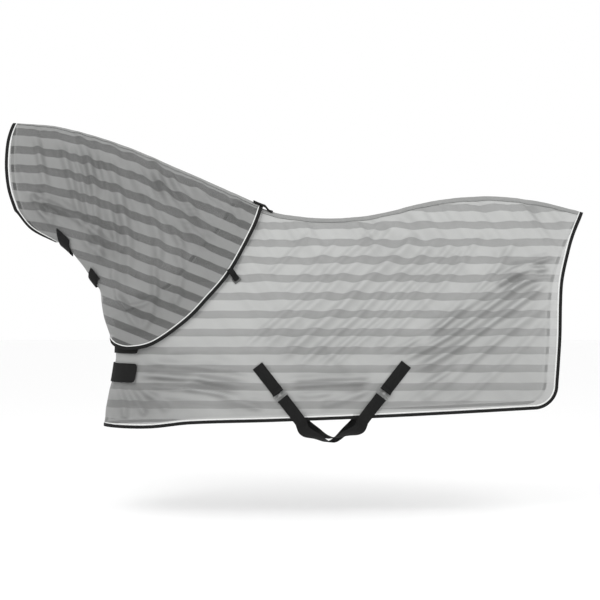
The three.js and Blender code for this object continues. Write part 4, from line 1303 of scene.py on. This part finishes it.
def anchor_patch(key, hand, side):
    at = anchor_frame(key, side)
    x, z, lean = ANCHORS[key]
    a = np.linspace(-PATCH_LENGTH / 2, PATCH_LENGTH / 2 - 0.004, 30)
    flat, normals = side_grid(side, (x, z), PATCH_SLOPE, lean, a, np.zeros_like(a))
    flat = flat + normals * PATCH_MIDDLE
    fold = in_frame(at, arc(0, FOLD_RADIUS, 125, -150, 14) + [(-0.008, -0.0060), (-0.014, -0.0064)])
    line = np.concatenate([flat, fold])
    across = everywhere(at["w"], len(line))
    up = strip_up(line, across)
    name = f"{key}_{hand}_webbing_patch"
    patch = sweep(name, line, across, up, flat_section(STRAP_WIDTH, STRAP_THICK))
    finish_piece(patch, "body_sheet", "black_webbing", WEBBING, f"{key}_{hand}_anchor")
    half = STRAP_WIDTH / 2 - CROSS_INSET
    first, last = flat[1], flat[-4]
    across, up = at["w"] * side, normals[15]
    top = up * (STRAP_THICK / 2 + 0.0002)
    corner = [first - across * half, first + across * half, last + across * half, last - across * half]
    paths = [corner + corner[:1], [corner[0], corner[2]], [corner[1], corner[3]]]
    rows = []
    for path in paths:
        path = np.array(path)
        points = walk(path, np.linspace(0, 120 * BOX_STEP, 121))
        points = points[:1 + int(lengths_along(path)[-1] / BOX_STEP)]
        bowed = on_side(side, points[:, 0], points[:, 2])[0] + up * PATCH_MIDDLE
        rows.append(stitch_row(bowed + top, everywhere(up, len(points))))
    thread = finish_piece(stitches(f"{name}_stitches", rows), "body_sheet", "black_webbing", BLACK_THREAD)
    return [patch, thread]


for key in ("front", "rear"):
    for hand, side in (("near", -1), ("far", 1)):
        PANELS["left" if side < 0 else "right", "body"]["trim"] += anchor_patch(key, hand, side)
print("anchor patches", PATCH_LENGTH, "by", STRAP_WIDTH, "m")

# %% [markdown]
# The belly straps themselves run down from the hook, turn under the belly, cross each other and climb
# to the ring on the other side. The line is the one that the CAD straps follow: a centripetal
# Catmull-Rom curve through a few points, walked at even steps.

# %% Belly straps
TURN_DROP, BELLY_DROP, STRAP_CROSSING, STRAIGHT_STRAP = 0.024, 0.984, 0.017, 0.118
HEM_FLARE, SLIDER_PLACE, SLIDER_LENGTH = 0.012, 0.046, 0.024
GATHER = LOOP_RADIUS + 0.003


def catmull(points, per_span=24):
    """A centripetal Catmull-Rom curve through the points, closed at neither end."""
    points = np.array(points)
    ends = [2 * points[0] - points[1], 2 * points[-1] - points[-2]]
    p = np.concatenate([[ends[0]], points, [ends[1]]])
    curve = []
    for p0, p1, p2, p3 in zip(p, p[1:], p[2:], p[3:]):
        t0, t1, t2 = (max(np.linalg.norm(b - a) ** 0.5, 1e-4) for a, b in ((p0, p1), (p1, p2), (p2, p3)))
        v1 = ((p1 - p0) / t0 - (p2 - p0) / (t0 + t1) + (p2 - p1) / t1) * t1
        v2 = ((p2 - p1) / t1 - (p3 - p1) / (t1 + t2) + (p3 - p2) / t2) * t1
        w = np.linspace(0, 1, per_span, endpoint=False)[:, None]
        curve.append((2 * p1 - 2 * p2 + v1 + v2) * w**3 + (3 * p2 - 3 * p1 - 2 * v1 - v2) * w**2
                     + v1 * w + p1)
    return np.concatenate(curve + [points[-1:]])


def belt_side(at, first, bottom):
    def run(distance):
        past_slider = HOOK_TO + SLIDER_PLACE + SLIDER_LENGTH
        flare = HEM_FLARE * float(smooth(distance, past_slider, HOOK_TO + STRAIGHT_STRAP))
        return at["o"] + at["d"] * distance + at["n"] * flare

    last = run(HOOK_TO + STRAIGHT_STRAP)
    turn = mix(last, bottom, 0.1) - np.array([0, 0, TURN_DROP])
    under = mix(last, bottom, 0.5) - np.array([0, 0, TURN_DROP * 0.8])
    straight = [run(first)] + [run(HOOK_TO + STRAIGHT_STRAP * share) for share in (0.4, 0.6, 0.8, 1)]
    return straight + [turn, under]


def belly_strap(key, start_key, end_key, sag, body):
    start, end = anchor_frame(start_key, -1), anchor_frame(end_key, 1)
    bottom = (start["o"] + end["o"]) / 2
    bottom[2] = -sag
    near, far = belt_side(start, HOOK_TO + GATHER, bottom), belt_side(end, RING_HEIGHT + GATHER, bottom)
    curve = catmull(near + [bottom] + far[::-1])
    total = lengths_along(curve)[-1]
    line = walk(curve, np.linspace(0, total, 160))
    s = np.linspace(-1, 1, len(line))[:, None]
    level = unit(np.cross((end["o"] - start["o"]) * (1, 1, 0), np.array([0, 0, 1])))
    flat = np.where(s < 0, start["w"], -end["w"])
    across = mix(level, flat, smooth(abs(s), 0.12, 0.62))
    near_fold, far_fold = (
        in_frame(at, [(reach + 0.014, -0.0032)] + arc(reach, FOLD_RADIUS, -75, -285, 12))
        for at, reach in ((start, HOOK_TO), (end, RING_HEIGHT)))
    line = np.concatenate([near_fold, line[2:-2], far_fold[::-1]])
    across = np.concatenate([everywhere(start["w"], len(near_fold)), across[2:-2],
                             everywhere(-end["w"], len(far_fold))])
    tangent = unit(np.gradient(line, axis=0))
    across = unit(across - tangent * np.sum(across * tangent, axis=1, keepdims=True))
    up = strip_up(line, across)
    name = f"{key}_belly_webbing"
    strap = sweep(name, line, across, up, flat_section(STRAP_WIDTH, STRAP_THICK))
    finish_piece(strap, body, "black_webbing", WEBBING, f"{key}_belly_strap")
    rows = []
    for at, reach in ((start, HOOK_TO), (end, RING_HEIGHT)):
        for shift in (0.012, 0.018):
            row = [at["o"] + at["d"] * (reach + shift) + at["w"] * w + at["n"] * (STRAP_THICK / 2 + 0.0002)
                   for w in np.linspace(-0.02, 0.02, 9)]
            rows.append(stitch_row(np.array(row), everywhere(at["n"], 9)))
    finish_piece(stitches(f"{name}_stitches", rows), body, "black_webbing", BLACK_THREAD)
    print(name, round(float(total), 3), "m")


belly_strap("front", "front", "rear", BELLY_DROP + STRAP_CROSSING, "front_strap")
belly_strap("rear", "rear", "front", BELLY_DROP, "rear_strap")

# %% [markdown]
# Rings, hook frames and sliders are bent wire. A wire frame starts as a plane whose corners are
# bevelled round. Its face is taken away, its rim becomes a curve, and the curve is given the wire's
# thickness and made a mesh again. The hook has a bar and a bent shank as well, cut from blocks.


# %% Wire fittings
def wire_frame(from_d, to_d, wire=RING_WIRE):
    nothing_selected()
    bpy.ops.mesh.primitive_plane_add(size=1)
    bpy.ops.object.mode_set(mode="EDIT")
    bpy.ops.transform.resize(value=(to_d - from_d, HARDWARE_WIDTH - wire, 1))
    bpy.ops.mesh.bevel(offset=wire * 0.9, segments=5, affect="VERTICES")
    bpy.ops.mesh.delete(type="ONLY_FACE")
    bpy.ops.object.mode_set(mode="OBJECT")
    bpy.ops.object.convert(target="CURVE")
    frame_curve = bpy.context.object
    frame_curve.data.bevel_depth, frame_curve.data.bevel_resolution = wire / 2, 3
    bpy.ops.object.convert(target="MESH")
    frame_mesh = bpy.context.object
    frame_mesh.location = ((from_d + to_d) / 2, 0, 0)
    bpy.ops.object.transform_apply(location=True, rotation=True, scale=True)
    return frame_mesh


def round_bar(length, radius, d, n):
    nothing_selected()
    bpy.ops.mesh.primitive_cylinder_add(
        vertices=16, radius=radius, depth=length, location=(d, 0, n), rotation=(math.pi / 2, 0, 0))
    bar = bpy.context.object
    bevel(bar, radius * 0.35)
    return bar


def bevel(piece, width, segments=2):
    bpy.ops.object.transform_apply(location=True, rotation=True, scale=True)
    edge = piece.modifiers.new("rounded", "BEVEL")
    edge.width, edge.segments, edge.limit_method = width, segments, "ANGLE"
    bpy.ops.object.modifier_apply(modifier=edge.name)


def plate(size, place, rounding=0.0008):
    nothing_selected()
    bpy.ops.mesh.primitive_cube_add(size=1, location=place)
    block = bpy.context.object
    block.scale = size
    bevel(block, rounding)
    return block


def joined(name, parts, at):
    """One fitting from its parts, moved into a strap frame by its mesh."""
    nothing_selected()
    for part in parts:
        part.select_set(True)
    bpy.context.view_layer.objects.active = parts[0]
    if len(parts) > 1:
        bpy.ops.object.join()
    fitting = bpy.context.object
    fitting.name = fitting.data.name = name
    axes = np.stack([at["d"], at["w"], at["n"], at["o"]], axis=1)
    fitting.data.transform(Matrix([*axes.tolist(), [0, 0, 0, 1]]))
    bpy.ops.object.shade_smooth_by_angle(angle=math.radians(40))
    fitting.data.materials.clear()
    return fitting


def ring(key, hand, side, body):
    fitting = joined(f"{key}_{hand}_wire_ring", [wire_frame(0, RING_HEIGHT)], anchor_frame(key, side))
    finish_piece(fitting, body, "fitting_metal", NICKEL, f"{key}_{hand}_ring")


def t_hook(key, body):
    d = RING_HEIGHT - 0.0056
    parts = [
        wire_frame(HOOK_FROM, HOOK_TO), round_bar(0.036, RING_WIRE / 2, d, -0.004),
        plate((0.003, 0.014, 0.009), (d, 0, 0.0004)),
        plate((0.014, 0.014, 0.002), (RING_HEIGHT + 0.0005, 0, 0.004)),
        plate((0.003, 0.014, 0.0058), (RING_HEIGHT + 0.0062, 0, 0.0021)),
    ]
    fitting = joined(f"{key}_t_hook", parts, anchor_frame(key, -1))
    finish_piece(fitting, body, "fitting_metal", NICKEL, f"{key}_strap_hook")


def slider(key, other, body):
    middle = HOOK_TO + SLIDER_PLACE
    half = SLIDER_LENGTH / 2 - RING_WIRE / 2
    bar = (HARDWARE_WIDTH - 0.002, 0.0016, middle, 0.0030)
    parts = [wire_frame(middle - half, middle + half), round_bar(*bar)]
    fitting = joined(f"{key}_wire_slider", parts, anchor_frame(other, 1))
    finish_piece(fitting, body, "fitting_metal", NICKEL, f"{key}_strap_slider")


ring("front", "near", -1, "body_sheet")
ring("rear", "near", -1, "body_sheet")
ring("front", "far", 1, "rear_strap")
ring("rear", "far", 1, "front_strap")
for key, other in (("front", "rear"), ("rear", "front")):
    t_hook(key, f"{key}_strap")
    slider(key, other, f"{key}_slider")

# %% Cloth facts
for (hand, part), panel in PANELS.items():
    print(hand, part, "pieces sewn on", len(panel["trim"]))
